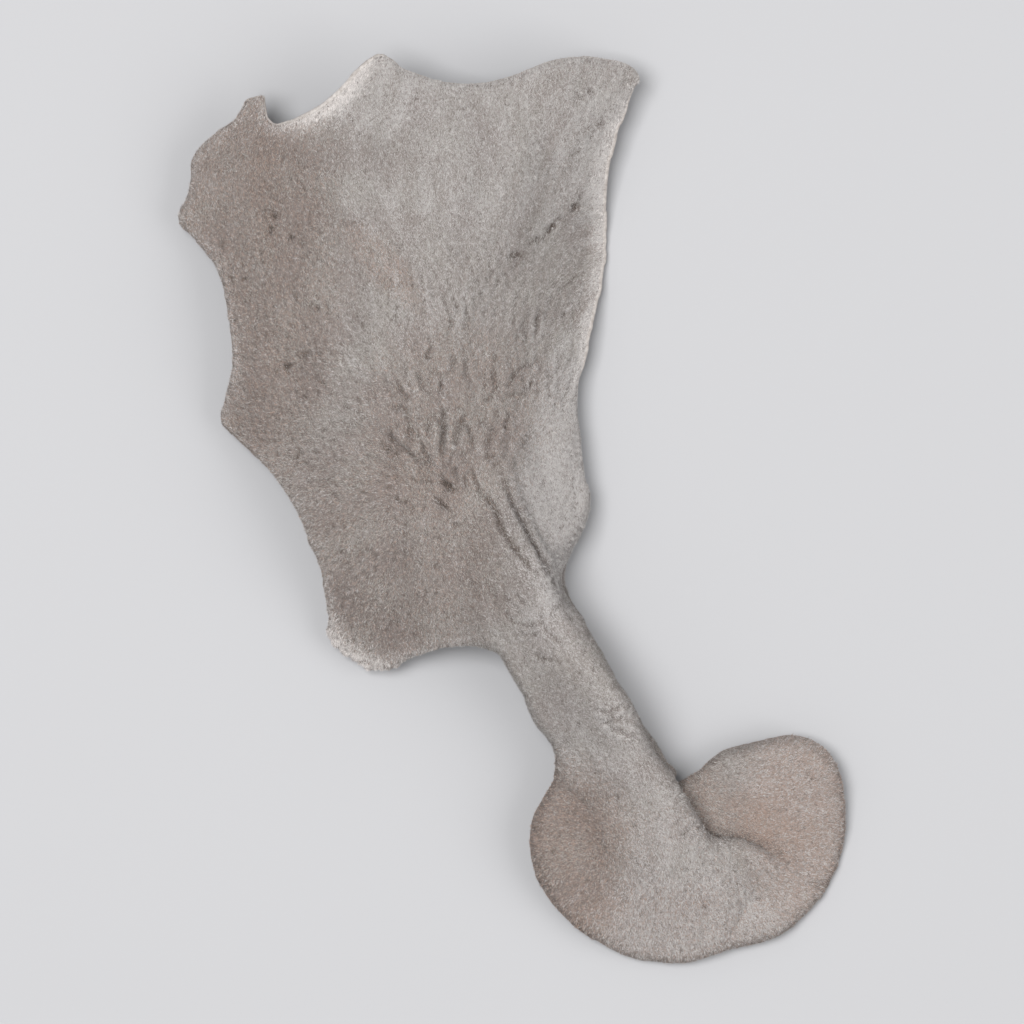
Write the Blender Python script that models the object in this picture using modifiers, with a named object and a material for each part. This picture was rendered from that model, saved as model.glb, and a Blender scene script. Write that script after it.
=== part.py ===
"""A dried wood ear mushroom, lying felt side up, as one closed solid.

The fruit body is a single leathery sheet: a broad lobed ear, a folded neck and a round foot
lobe. Seen from above the sheet fills OUTLINE. Inside the margin its height above the table comes
from hand-picked spot heights, the fold that runs down the neck, the wrinkles that gather where
the neck starts, and slow waves along the edge. In the margin the sheet bends over until it has
the slope that its stretch of the outline states. A Solidify modifier gives it its thickness.

Lengths in this file are millimetres until the mesh is written, which is in metres.
"""

import math
from collections import namedtuple

import bmesh
import bpy
import numpy as np
from mathutils import Vector
from mathutils.geometry import delaunay_2d_cdt

MM = 0.001

# The sheet, and how far its lowest places are pressed flat where they touch the table
SHEET_THICKNESS = 1.2
RIM_THICKNESS_SHARE = 0.62
FLAT_DEPTH = 0.35

# How fine the mesh is: along the outline, over the plan, round the gathering, and in the margin
STATION_SPACING = 1.75
LATTICE_SPACING = 2.0
GATHER_SPACING = 1.4
MARGIN_RINGS = 5
CURVE_STEPS = 12
LEAST_GAP = 0.8
SAME_POINT = 1e-5

# The margin follows the sheet's own slope where it starts, measured over SLOPE_STEP and no
# steeper than STEEPEST_MARGIN. The blends smooth its curl, direction and tilt along the outline.
SLOPE_STEP = 0.3
STEEPEST_MARGIN = math.radians(35)
CURL_BLEND = 2.6
DIRECTION_BLEND = 1.05
TILT_BLEND = 1.4
FIT_ROUNDS = 3

FELT_GREY = (0.33, 0.285, 0.26, 1.0)
FELT_ROUGHNESS = 0.95

# One stretch of the margin. The sheet bends over an arc of this radius until it slopes down by
# this many degrees (up where negative), and the lip is what follows the arc. The lip is longer by
# the share hang of what is left down to HANG_HEIGHT. Points run clockwise.
Stretch = namedtuple("Stretch", "name radius slope lip hang points")
HANG_HEIGHT = 3.6

OUTLINE = (
    Stretch("top scallop", 1.8, 28, 0.5, 0, (
        (-13.8, 48.5), (-10.8, 47.0), (-7.9, 46.1), (-4.5, 45.7), (0.4, 46.7), (3.3, 48.0),
        (7.1, 48.7), (10.4, 48.4))),
    Stretch("top right corner", 1.2, 20, 0.3, 0, (
        (12.7, 47.2), (13.1, 45.9), (12.6, 44.2))),
    Stretch("right edge", 1.8, -24, 0.6, 0, (
        (11.6, 41.6), (10.6, 37.5), (10.4, 32.3), (10.4, 27.0), (9.9, 23.3), (8.8, 18.8))),
    Stretch("flank", 1.7, 75, 0.8, 0, (
        (8.0, 15.1), (7.6, 11.8), (7.8, 8.4), (8.2, 4.6), (8.9, 1.6))),
    Stretch("flank's end", 1.3, 80, 0.6, 1, (
        (8.5, -1.3), (6.9, -4.3), (6.2, -7.2))),
    Stretch("neck fold", 1.1, 94, 0.5, 0.75, (
        (7.1, -10.8), (10.8, -16.4), (14.0, -21.4))),
    Stretch("crook of the neck", 1.1, 80, 0.5, 1, (
        (16.6, -25.0), (18.6, -26.4))),
    Stretch("foot, upper edge", 1.6, 40, 0.5, 1, (
        (20.8, -26.0), (23.9, -24.6), (27.0, -23.7), (30.2, -23.2), (33.3, -24.5))),
    Stretch("foot, right edge", 2.0, 62, 0.6, 0, (
        (35.4, -27.3), (36.2, -31.5), (36.2, -35.1), (35.1, -38.8), (33.3, -41.9),
        (30.7, -44.5))),
    Stretch("foot, lower edge", 1.8, 48, 0.6, 0, (
        (28.1, -46.1), (25.5, -46.8), (22.9, -47.4), (20.3, -48.4), (16.6, -48.7),
        (13.0, -48.2), (10.4, -47.1), (7.8, -45.6), (5.2, -43.5))),
    Stretch("foot, left edge", 1.8, 55, 0.6, 0, (
        (3.1, -40.8), (1.8, -37.7), (1.5, -35.1), (1.8, -32.5), (3.1, -29.9))),
    Stretch("neck, left side", 1.9, 84, 2.2, 0, (
        (4.8, -26.5), (3.0, -22.4), (0.4, -17.9), (-1.5, -15.3))),
    Stretch("bottom notch", 1.6, 60, 0.8, 0, (
        (-3.6, -14.5), (-6.0, -14.6), (-8.6, -15.1), (-10.8, -16.0))),
    Stretch("lower lobe", 1.6, 118, 0.6, 0, (
        (-12.4, -17.0), (-14.2, -17.5), (-16.4, -16.8), (-18.3, -15.7), (-19.6, -13.9),
        (-20.1, -11.8))),
    Stretch("lower left edge", 1.8, 46, 0.6, 0, (
        (-20.0, -9.2), (-20.4, -6.7), (-21.1, -4.5), (-22.1, -2.2), (-23.9, 1.9), (-27.3, 5.6),
        (-29.7, 7.6))),
    Stretch("left corner", 1.5, 58, 0.5, 0, (
        (-31.4, 9.6), (-30.9, 12.2), (-30.1, 15.8))),
    Stretch("left lobe", 2.2, 116, 0.9, 0, (
        (-30.5, 20.4), (-31.2, 24.2), (-33.2, 27.6), (-35.6, 29.8), (-36.1, 31.6),
        (-34.9, 34.3), (-34.2, 37.0), (-32.4, 39.5))),
    Stretch("ear tip", 0.9, 16, 0.3, 0, (
        (-29.9, 41.1), (-28.0, 43.6), (-26.2, 44.3), (-25.3, 42.9), (-24.3, 41.7))),
    Stretch("turned-up edge", 1.5, -62, 0.4, 0, (
        (-20.9, 42.4), (-18.3, 44.8), (-15.4, 47.5))),
)

# x, y and the height of the sheet's middle above the table
SPOT_HEIGHTS = (
    # the ear, from its raised top edge down
    (-14.0, 47.5, 11.0), (-4.5, 45.0, 9.0), (5.0, 47.0, 8.6), (12.0, 46.0, 6.4),
    (-22.0, 37.0, 9.6), (-10.0, 33.0, 12.4), (0.0, 37.0, 9.8), (8.0, 38.5, 4.8),
    (-26.0, 43.0, 7.6), (-32.0, 38.0, 5.8), (-33.5, 31.0, 4.4), (-29.5, 21.0, 6.4),
    (-20.0, 21.0, 11.4), (-8.0, 19.0, 12.6), (1.0, 24.0, 8.0), (9.2, 29.0, 0.9),
    (8.6, 20.5, 2.2), (6.6, 11.0, 5.0), (-29.5, 11.0, 4.4), (-20.0, 4.0, 8.8),
    (-7.0, 5.0, 12.6), (-19.0, -6.0, 6.8), (-17.0, -14.5, 3.2), (-9.0, -7.0, 10.2),
    (-8.0, -13.8, 7.2), (5.6, 5.0, 6.4), (7.2, 0.0, 5.6),
    # the neck
    (0.5, -8.0, 12.2), (-0.6, -14.0, 8.8), (6.4, -15.6, 11.6), (2.8, -20.4, 8.0),
    (12.4, -23.8, 10.0), (6.2, -26.4, 6.6),
    # the foot lobe
    (4.0, -33.5, 4.2), (4.4, -40.0, 3.6), (11.0, -41.0, 4.6), (13.0, -46.6, 1.8),
    (21.0, -46.0, 3.4), (20.0, -40.5, 5.0), (29.5, -42.5, 2.8), (34.5, -35.0, 2.6),
    (32.5, -27.0, 5.0), (26.0, -26.5, 4.4), (23.5, -31.0, 3.8), (28.0, -36.0, 4.4),
    (13.0, -33.0, 8.2), (17.0, -31.5, 7.8),
)

# The fold: x and y down its crest, how far the crest stands up, and how wide its gentle side is
FOLD = (
    (-3.6, 12.0, 0.0, 3.0), (-2.6, 8.5, 0.5, 3.0), (-1.2, 3.5, 1.2, 3.2), (0.6, -2.2, 1.6, 3.6),
    (2.8, -5.4, 1.8, 4.5), (4.6, -7.8, 2.0, 5.0), (6.8, -12.2, 2.8, 5.5),
    (10.0, -17.4, 3.2, 6.0), (13.6, -23.2, 3.0, 5.5), (16.4, -27.6, 2.2, 5.0),
    (18.8, -31.4, 2.0, 4.5), (20.8, -34.8, 1.5, 4.0), (22.2, -37.2, 0.0, 3.5),
)
FOLD_FOOT = 1.7

# The mesh's lines along the fold, by their distance to the left of the crest, and the strip that
# the lattice leaves to them
FOLD_LINES = (-1.1, 0.0, 0.8, FOLD_FOOT)
FOLD_LINE_SPACING = 1.5
FOLD_STRIP = (-1.9, FOLD_FOOT + 0.9)

# The gathering: a dimple where the neck starts, and wrinkles that fan out upwards from it. They
# rise and fade along their length, sway a little, and die out to the sides of the fan.
GATHER_CENTRE = (-7.0, 3.6)
GATHER_HEADING = math.radians(100)
GATHER_DIMPLE = 0.9
GATHER_DIMPLE_WIDTH = 3.2
GATHER_REACH = 17.0
GATHER_RISE = 3.0
GATHER_FADE = 9.0
GATHER_WRINKLES = 13
GATHER_HEIGHT = 0.42
GATHER_SWAY = 0.25
GATHER_SWAY_LENGTH = 4.0
FAN_EDGE = math.cos(math.radians(81))
FAN_FULL = math.cos(math.radians(41))
FINE_CENTRE = (-7.0, 9.6)
FINE_RADIUS = 13.0

# Slow waves along the margin: waves in the whole outline, height and phase
EDGE_WAVES = ((17, 0.42, 0.6), (29, 0.30, 2.1), (43, 0.16, 4.0))
EDGE_WAVE_REACH = 6.0


def smooth_step(values):
    """0 below 0, 1 above 1, and a smooth ramp between."""
    share = np.clip(values, 0.0, 1.0)
    return share * share * (3.0 - 2.0 * share)


def loop_through(points):
    """Points on the smooth closed curve through the given ones, CURVE_STEPS to each."""
    data = bpy.data.curves.new("ear_outline", "CURVE")
    data.dimensions = "2D"
    data.fill_mode = "NONE"
    data.resolution_u = CURVE_STEPS
    spline = data.splines.new("BEZIER")
    spline.bezier_points.add(len(points) - 1)
    for knot, (x, y) in zip(spline.bezier_points, points):
        knot.co = (x, y, 0.0)
        knot.handle_left_type = knot.handle_right_type = "AUTO"
    spline.use_cyclic_u = True
    guide = bpy.data.objects.new("ear_outline", data)
    bpy.context.scene.collection.objects.link(guide)
    graph = bpy.context.evaluated_depsgraph_get()
    drawn = guide.evaluated_get(graph).to_mesh()
    dense = np.array([vertex.co[:2] for vertex in drawn.vertices])
    bpy.data.objects.remove(guide)
    return dense


def loop_lengths(points):
    """Length along a closed loop up to each point, and the whole length last."""
    steps = np.linalg.norm(np.roll(points, -1, axis=0) - points, axis=1)
    return np.concatenate([[0.0], np.cumsum(steps)])


def evenly_spaced(points, values, count):
    """A closed loop sampled again at even lengths, with the values that go with its points."""
    lengths = loop_lengths(points)
    wanted = np.arange(count) / count * lengths[-1]
    closed = np.vstack([points, points[:1]])
    closed_values = np.vstack([values, values[:1]])
    spots = np.column_stack([np.interp(wanted, lengths, closed[:, k]) for k in (0, 1)])
    carried = np.column_stack(
        [np.interp(wanted, lengths, closed_values[:, k]) for k in range(values.shape[1])]
    )
    return spots, carried


def smoothed_round(values, spread):
    """Values on a closed loop, blurred with a bell curve of this spread in samples."""
    reach = int(3 * spread) + 1
    offsets = np.arange(-reach, reach + 1)
    weights = np.exp(-0.5 * (offsets / spread) ** 2)
    rolled = sum(w * np.roll(values, k, axis=0) for w, k in zip(weights, offsets))
    return rolled / weights.sum()


class ThinPlate:
    """The smoothest surface through the spot heights."""

    def __init__(self, spots):
        spots = np.asarray(spots, float)
        self.spots = spots[:, :2]
        count = len(spots)
        matrix = np.zeros((count + 3, count + 3))
        matrix[:count, :count] = self.kernel(self.spots)
        matrix[:count, count] = 1.0
        matrix[:count, count + 1:] = self.spots
        matrix[count:, :count] = matrix[:count, count:].T
        self.weights = np.linalg.solve(matrix, np.append(spots[:, 2], np.zeros(3)))

    def kernel(self, places):
        """The bending kernel between each place and each spot."""
        gaps = places[:, None, :] - self.spots[None, :, :]
        squares = (gaps**2).sum(axis=2)
        return 0.5 * squares * np.log(squares + 1e-12)

    def heights(self, places):
        """The surface's height at each place."""
        count = len(self.spots)
        bend = self.kernel(places) @ self.weights[:count]
        return bend + self.weights[count] + places @ self.weights[count + 1:]


def along_line(places, line):
    """For each place: the line's values at its nearest point, and the signed distance to it.

    The distance is positive to the left of the line as it runs.
    """
    line = np.asarray(line, float)
    best = np.full(len(places), np.inf)
    side = np.zeros(len(places))
    carried = np.zeros((len(places), line.shape[1] - 2))
    for start, end in zip(line[:-1], line[1:]):
        run = end[:2] - start[:2]
        share = np.clip(((places - start[:2]) @ run) / (run @ run), 0.0, 1.0)
        gap = places - (start[:2] + share[:, None] * run)
        distance = np.linalg.norm(gap, axis=1)
        nearer = distance < best
        best[nearer] = distance[nearer]
        side[nearer] = np.sign(gap[nearer, 1] * run[0] - gap[nearer, 0] * run[1])
        values = start[2:] + share[:, None] * (end[2:] - start[2:])
        carried[nearer] = values[nearer]
    return carried, best * side


def fold_height(places):
    """The crest of the fold, which falls gently towards -X and steeply towards +X."""
    carried, offset = along_line(places, FOLD)
    lift, width = carried[:, 0], carried[:, 1]
    gentle = np.exp(-((offset / width) ** 2))
    steep = 1.0 - smooth_step(offset / FOLD_FOOT)
    return lift * np.where(offset < 0.0, gentle, steep)


def gather_height(places):
    """The dimple where the neck starts and the wrinkles that fan out above it."""
    away = places - np.array(GATHER_CENTRE)
    reach = np.linalg.norm(away, axis=1)
    angle = np.arctan2(away[:, 1], away[:, 0])
    swayed = angle + GATHER_SWAY * np.sin(reach / GATHER_SWAY_LENGTH)
    fan = smooth_step((np.cos(angle - GATHER_HEADING) - FAN_EDGE) / (FAN_FULL - FAN_EDGE))
    along = smooth_step(reach / GATHER_RISE) * smooth_step((GATHER_REACH - reach) / GATHER_FADE)
    wrinkles = GATHER_HEIGHT * fan * along * np.sin(GATHER_WRINKLES * swayed)
    return wrinkles - GATHER_DIMPLE * np.exp(-((reach / GATHER_DIMPLE_WIDTH) ** 2))


class Margin:
    """The outline, and how the sheet bends over all round it."""

    def __init__(self):
        corners, curls = [], []
        for stretch in OUTLINE:
            corners += stretch.points
            curl = (stretch.radius, stretch.slope, stretch.lip, stretch.hang)
            curls += [curl] * len(stretch.points)
        dense = loop_through(corners)
        held = np.repeat(np.array(curls, float), CURVE_STEPS, axis=0)
        length = loop_lengths(dense)[-1]
        self.count = round(length / STATION_SPACING)
        self.edge, curl = evenly_spaced(dense, held, self.count)
        curl = smoothed_round(curl, CURL_BLEND / STATION_SPACING)
        self.radius, slope, self.least_lip, self.hang = curl.T
        self.lip = self.least_lip
        self.end = -np.radians(slope)
        run = np.roll(self.edge, -1, axis=0) - np.roll(self.edge, 1, axis=0)
        run = smoothed_round(run, DIRECTION_BLEND / STATION_SPACING)
        run /= np.linalg.norm(run, axis=1)[:, None]
        # The outline runs clockwise, so outwards is to the left of it.
        self.out = np.column_stack([-run[:, 1], run[:, 0]])
        self.tilt = np.zeros(self.count)
        self.start = self.edge
        place = 2 * math.pi * np.arange(self.count) / self.count
        self.wave = sum(high * np.sin(waves * place + phase) for waves, high, phase in EDGE_WAVES)

    def fit(self, sheet):
        """Finds where the bend starts, so that the bent margin just reaches the outline."""
        steepest = math.tan(STEEPEST_MARGIN)
        for _ in range(FIT_ROUNDS):
            self.start = self.edge - self.out * self.reach()[:, None]
            inner = sheet.heights(self.start - SLOPE_STEP * self.out)
            level = sheet.heights(self.start)
            slope = np.clip((level - inner) / SLOPE_STEP, -steepest, steepest)
            self.tilt = smoothed_round(np.arctan(slope), TILT_BLEND / STATION_SPACING)
            drop = self.radius * (np.cos(self.tilt) - np.cos(self.end))
            left = level - drop - HANG_HEIGHT
            self.lip = self.least_lip + self.hang * np.maximum(left, 0.0)
        self.start = self.edge - self.out * self.reach()[:, None]

    def reach(self):
        """How far out the bent margin gets from where its bend starts, with its thickness."""
        bend = self.radius * np.sign(self.tilt - self.end)
        plain = bend * (np.sin(self.tilt) - np.sin(self.end)) + self.lip * np.cos(self.end)
        plain += 0.5 * RIM_THICKNESS_SHARE * SHEET_THICKNESS * np.abs(np.sin(self.end))
        rolled = self.radius * (np.sin(self.tilt) + 1.0) + 0.5 * SHEET_THICKNESS
        return np.where(self.end > -math.pi / 2, plain, rolled)

    def ring(self, share, level):
        """The margin's points at this share of its width, from 0 at the start to 1 at the rim."""
        way = np.sign(self.tilt - self.end)
        arc = self.radius * np.abs(self.tilt - self.end)
        run = share * (arc + self.lip)
        angle = self.tilt - way * np.minimum(run, arc) / self.radius
        beyond = np.maximum(run - arc, 0.0)
        bend = way * self.radius
        outward = bend * (np.sin(self.tilt) - np.sin(angle)) + beyond * np.cos(angle)
        rise = bend * (np.cos(angle) - np.cos(self.tilt)) + beyond * np.sin(angle)
        plan = self.start + self.out * outward[:, None]
        return np.column_stack([plan, level + rise])


class Sheet:
    """The height of the sheet's middle over the plan, inside the margin."""

    def __init__(self, margin):
        self.plate = ThinPlate(SPOT_HEIGHTS)
        self.edge = margin.edge
        self.wave = margin.wave

    def heights(self, places):
        """The height at each place."""
        height = self.plate.heights(places) + fold_height(places) + gather_height(places)
        gaps = np.linalg.norm(places[:, None, :] - self.edge[None, :, :], axis=2)
        nearest = gaps.argmin(axis=1)
        depth = gaps[np.arange(len(places)), nearest]
        return height + self.wave[nearest] * np.exp(-depth / EDGE_WAVE_REACH)


def inside(places, loop):
    """Which places lie inside a closed loop."""
    x, y = places[:, 0], places[:, 1]
    found = np.zeros(len(places), bool)
    for (x0, y0), (x1, y1) in zip(loop, np.roll(loop, -1, axis=0)):
        crosses = (y0 > y) != (y1 > y)
        with np.errstate(divide="ignore", invalid="ignore"):
            found ^= crosses & (x < x0 + (y - y0) * (x1 - x0) / (y1 - y0))
    return found


def lattice(low, high, spacing):
    """A triangular lattice of points over a box."""
    rows = np.arange(low[1], high[1], spacing * math.sqrt(0.75))
    columns = np.arange(low[0], high[0], spacing)
    return np.array([(x + spacing / 2 * (k % 2), y) for k, y in enumerate(rows) for x in columns])


def plan_points(margin):
    """Points that fill the plan: a lattice, finer in the gathering, and lines beside the fold."""
    low, high = margin.start.min(axis=0), margin.start.max(axis=0)
    coarse = lattice(low, high, LATTICE_SPACING)
    fine = lattice(low, high, GATHER_SPACING)
    rim_of_fine = FINE_RADIUS + GATHER_SPACING / 2
    coarse = coarse[np.linalg.norm(coarse - FINE_CENTRE, axis=1) > rim_of_fine]
    fine = fine[np.linalg.norm(fine - FINE_CENTRE, axis=1) <= FINE_RADIUS]
    filling = np.vstack([coarse, fine])
    _, offset = along_line(filling, FOLD)
    filling = filling[(offset < FOLD_STRIP[0]) | (offset > FOLD_STRIP[1])]
    points = np.vstack([filling, fold_points()])
    points = points[inside(points, margin.start)]
    gaps = np.linalg.norm(points[:, None, :] - margin.start[None, :, :], axis=2).min(axis=1)
    return points[gaps > LEAST_GAP]


def fold_points():
    """Points on the lines along the fold."""
    crest = np.asarray(FOLD)[:, :2]
    steps = np.concatenate([[0.0], np.cumsum(np.linalg.norm(np.diff(crest, axis=0), axis=1))])
    wanted = np.arange(0.0, steps[-1], FOLD_LINE_SPACING)
    middle = np.column_stack([np.interp(wanted, steps, crest[:, k]) for k in (0, 1)])
    run = np.gradient(middle, axis=0)
    run /= np.linalg.norm(run, axis=1)[:, None]
    leftwards = np.column_stack([-run[:, 1], run[:, 0]])
    return np.vstack([middle + leftwards * offset for offset in FOLD_LINES])


def build_sheet_mesh():
    """The sheet's middle surface as one mesh, and the indices of its rim."""
    margin = Margin()
    sheet = Sheet(margin)
    margin.fit(sheet)
    count = margin.count
    plan = np.vstack([margin.start, plan_points(margin)])
    loop = list(range(count))
    edges = [(k, (k + 1) % count) for k in loop]
    made, _, faces, _, _, _ = delaunay_2d_cdt(
        [Vector(p) for p in plan], edges, [loop[::-1]], 1, SAME_POINT
    )
    places = np.array(made)
    heights = sheet.heights(places)

    mesh = bmesh.new()
    inner = [mesh.verts.new((*p, z)) for p, z in zip(places, heights)]
    for face in faces:
        mesh.faces.new([inner[k] for k in face])
    started = [int(np.linalg.norm(places - p, axis=1).argmin()) for p in margin.start]
    ring = [inner[k] for k in started]
    for step in range(1, MARGIN_RINGS + 1):
        points = margin.ring(step / MARGIN_RINGS, heights[started])
        after = [mesh.verts.new(p) for p in points]
        for k in range(count):
            other = (k + 1) % count
            mesh.faces.new([ring[k], ring[other], after[other], after[k]])
        ring = after
    bmesh.ops.recalc_face_normals(mesh, faces=mesh.faces)
    if sum(face.normal.z for face in mesh.faces) < 0:
        bmesh.ops.reverse_faces(mesh, faces=mesh.faces)
    bmesh.ops.triangulate(mesh, faces=[f for f in mesh.faces if len(f.verts) > 3])
    bmesh.ops.scale(mesh, vec=(MM, MM, MM), verts=mesh.verts)
    mesh.verts.index_update()
    rim_indices = [vertex.index for vertex in ring]
    data = bpy.data.meshes.new("wood_ear")
    mesh.to_mesh(data)
    mesh.free()
    return data, rim_indices


def thicken(ear, rim_indices):
    """Gives the sheet its thickness, which tapers to the rim, and makes it one closed mesh."""
    thick = ear.vertex_groups.new(name="thickness")
    thick.add(range(len(ear.data.vertices)), 1.0, "REPLACE")
    thick.add(rim_indices, RIM_THICKNESS_SHARE, "REPLACE")
    solidify = ear.modifiers.new("sheet thickness", "SOLIDIFY")
    solidify.thickness = SHEET_THICKNESS * MM
    solidify.offset = 0.0
    solidify.vertex_group = thick.name
    solidify.use_rim = True
    graph = bpy.context.evaluated_depsgraph_get()
    made = bpy.data.meshes.new_from_object(ear.evaluated_get(graph))
    made.name = "wood_ear_solid"
    ear.modifiers.clear()
    ear.data = made


def settle(ear):
    """Lays the ear on the table: centred over the origin, with small flats where it touches."""
    points = np.empty(len(ear.data.vertices) * 3)
    ear.data.vertices.foreach_get("co", points)
    points = points.reshape(-1, 3)
    low, high = points.min(axis=0), points.max(axis=0)
    points -= ((low[0] + high[0]) / 2, (low[1] + high[1]) / 2, low[2] + FLAT_DEPTH * MM)
    points[:, 2] = np.maximum(points[:, 2], 0.0)
    ear.data.vertices.foreach_set("co", points.ravel())
    ear.data.update()


def felt_material():
    """The dry grey felt of the outer side."""
    material = bpy.data.materials.new("dry_felt")
    material.use_nodes = True
    shader = material.node_tree.nodes["Principled BSDF"]
    shader.inputs["Base Color"].default_value = FELT_GREY
    shader.inputs["Roughness"].default_value = FELT_ROUGHNESS
    shader.inputs["Metallic"].default_value = 0.0
    return material


def main():
    """Builds the ear in a collection of its own."""
    for obj in list(bpy.data.objects):
        bpy.data.objects.remove(obj, do_unlink=True)
    collection = bpy.data.collections.new("wood ear mushroom")
    bpy.context.scene.collection.children.link(collection)
    data, rim_indices = build_sheet_mesh()
    ear = bpy.data.objects.new("wood_ear", data)
    collection.objects.link(ear)
    thicken(ear, rim_indices)
    settle(ear)
    ear.data.materials.append(felt_material())
    ear.data.shade_smooth()


main()
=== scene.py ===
"""A dried wood ear mushroom, dressed: its felted sheet, the nap on it and its smooth dark underside.

The sheet is drawn in millimetres over a plan whose +Y runs from the foot lobe to the raised edge of
the ear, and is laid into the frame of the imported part, which it replaces. Each point of it has a
place in the frame and a cloth place, which is where it lies on the sheet if the margin is unrolled
flat. The felt's fibres have their heading by cloth place.
"""

import logging
import math
from dataclasses import dataclass, field
from enum import Enum
from typing import ClassVar

import bpy
import numpy as np
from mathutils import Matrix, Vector
from mathutils.bvhtree import BVHTree
from mathutils.geometry import delaunay_2d_cdt
from mathutils.kdtree import KDTree


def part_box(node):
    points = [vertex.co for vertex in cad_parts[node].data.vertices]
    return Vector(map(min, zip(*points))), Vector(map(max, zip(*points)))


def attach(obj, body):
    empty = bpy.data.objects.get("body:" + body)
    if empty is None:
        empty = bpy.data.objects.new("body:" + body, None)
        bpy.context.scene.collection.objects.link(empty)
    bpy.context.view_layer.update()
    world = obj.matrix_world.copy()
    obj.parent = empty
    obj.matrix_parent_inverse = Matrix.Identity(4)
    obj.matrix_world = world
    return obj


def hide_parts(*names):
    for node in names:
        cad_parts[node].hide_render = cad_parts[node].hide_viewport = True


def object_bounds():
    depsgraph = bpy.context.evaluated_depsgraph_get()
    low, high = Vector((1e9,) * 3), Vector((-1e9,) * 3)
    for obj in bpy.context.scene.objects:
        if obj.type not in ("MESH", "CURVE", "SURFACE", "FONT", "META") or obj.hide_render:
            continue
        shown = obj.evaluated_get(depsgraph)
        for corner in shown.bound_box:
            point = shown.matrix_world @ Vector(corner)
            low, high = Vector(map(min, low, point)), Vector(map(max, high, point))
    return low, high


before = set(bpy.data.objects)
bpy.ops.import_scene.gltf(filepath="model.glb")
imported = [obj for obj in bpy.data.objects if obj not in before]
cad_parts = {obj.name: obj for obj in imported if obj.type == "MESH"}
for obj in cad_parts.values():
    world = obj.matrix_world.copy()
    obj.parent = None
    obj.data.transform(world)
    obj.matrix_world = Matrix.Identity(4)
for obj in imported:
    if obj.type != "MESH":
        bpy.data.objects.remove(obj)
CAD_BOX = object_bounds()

MM = 0.001
NODE = "wood_ear"
BODY = "root"
FLAT_MAP = "OFBake"
TINY = 1e-12
# For delaunay_2d_cdt: it keeps the triangles inside the loop, and joins points nearer than this
CDT_INSIDE = 1
CDT_NEAR = 1e-5

log = logging.getLogger("wood_ear")


class Side(Enum):
    """The faces of the skin, in the order of its materials."""

    FELT = 0
    RIM = 1
    SMOOTH = 2


@dataclass(frozen=True)
class Stretch:
    """One stretch of the margin, with its points running clockwise.

    The sheet bends over an arc of the radius until it slopes down by so many degrees (up where
    negative), and the lip is what follows the arc. The lip is longer by the share hang of what is
    left down to the hang height. The felt along its rim is pale or shaded by the next two shares,
    and the rim is as ragged as the last one says.
    """

    name: str
    radius: float
    slope: float
    lip: float
    hang: float
    points: tuple[tuple[float, float], ...]
    pale: float = 0.0
    shade: float = 0.0
    ragged: float = 1.0


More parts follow.
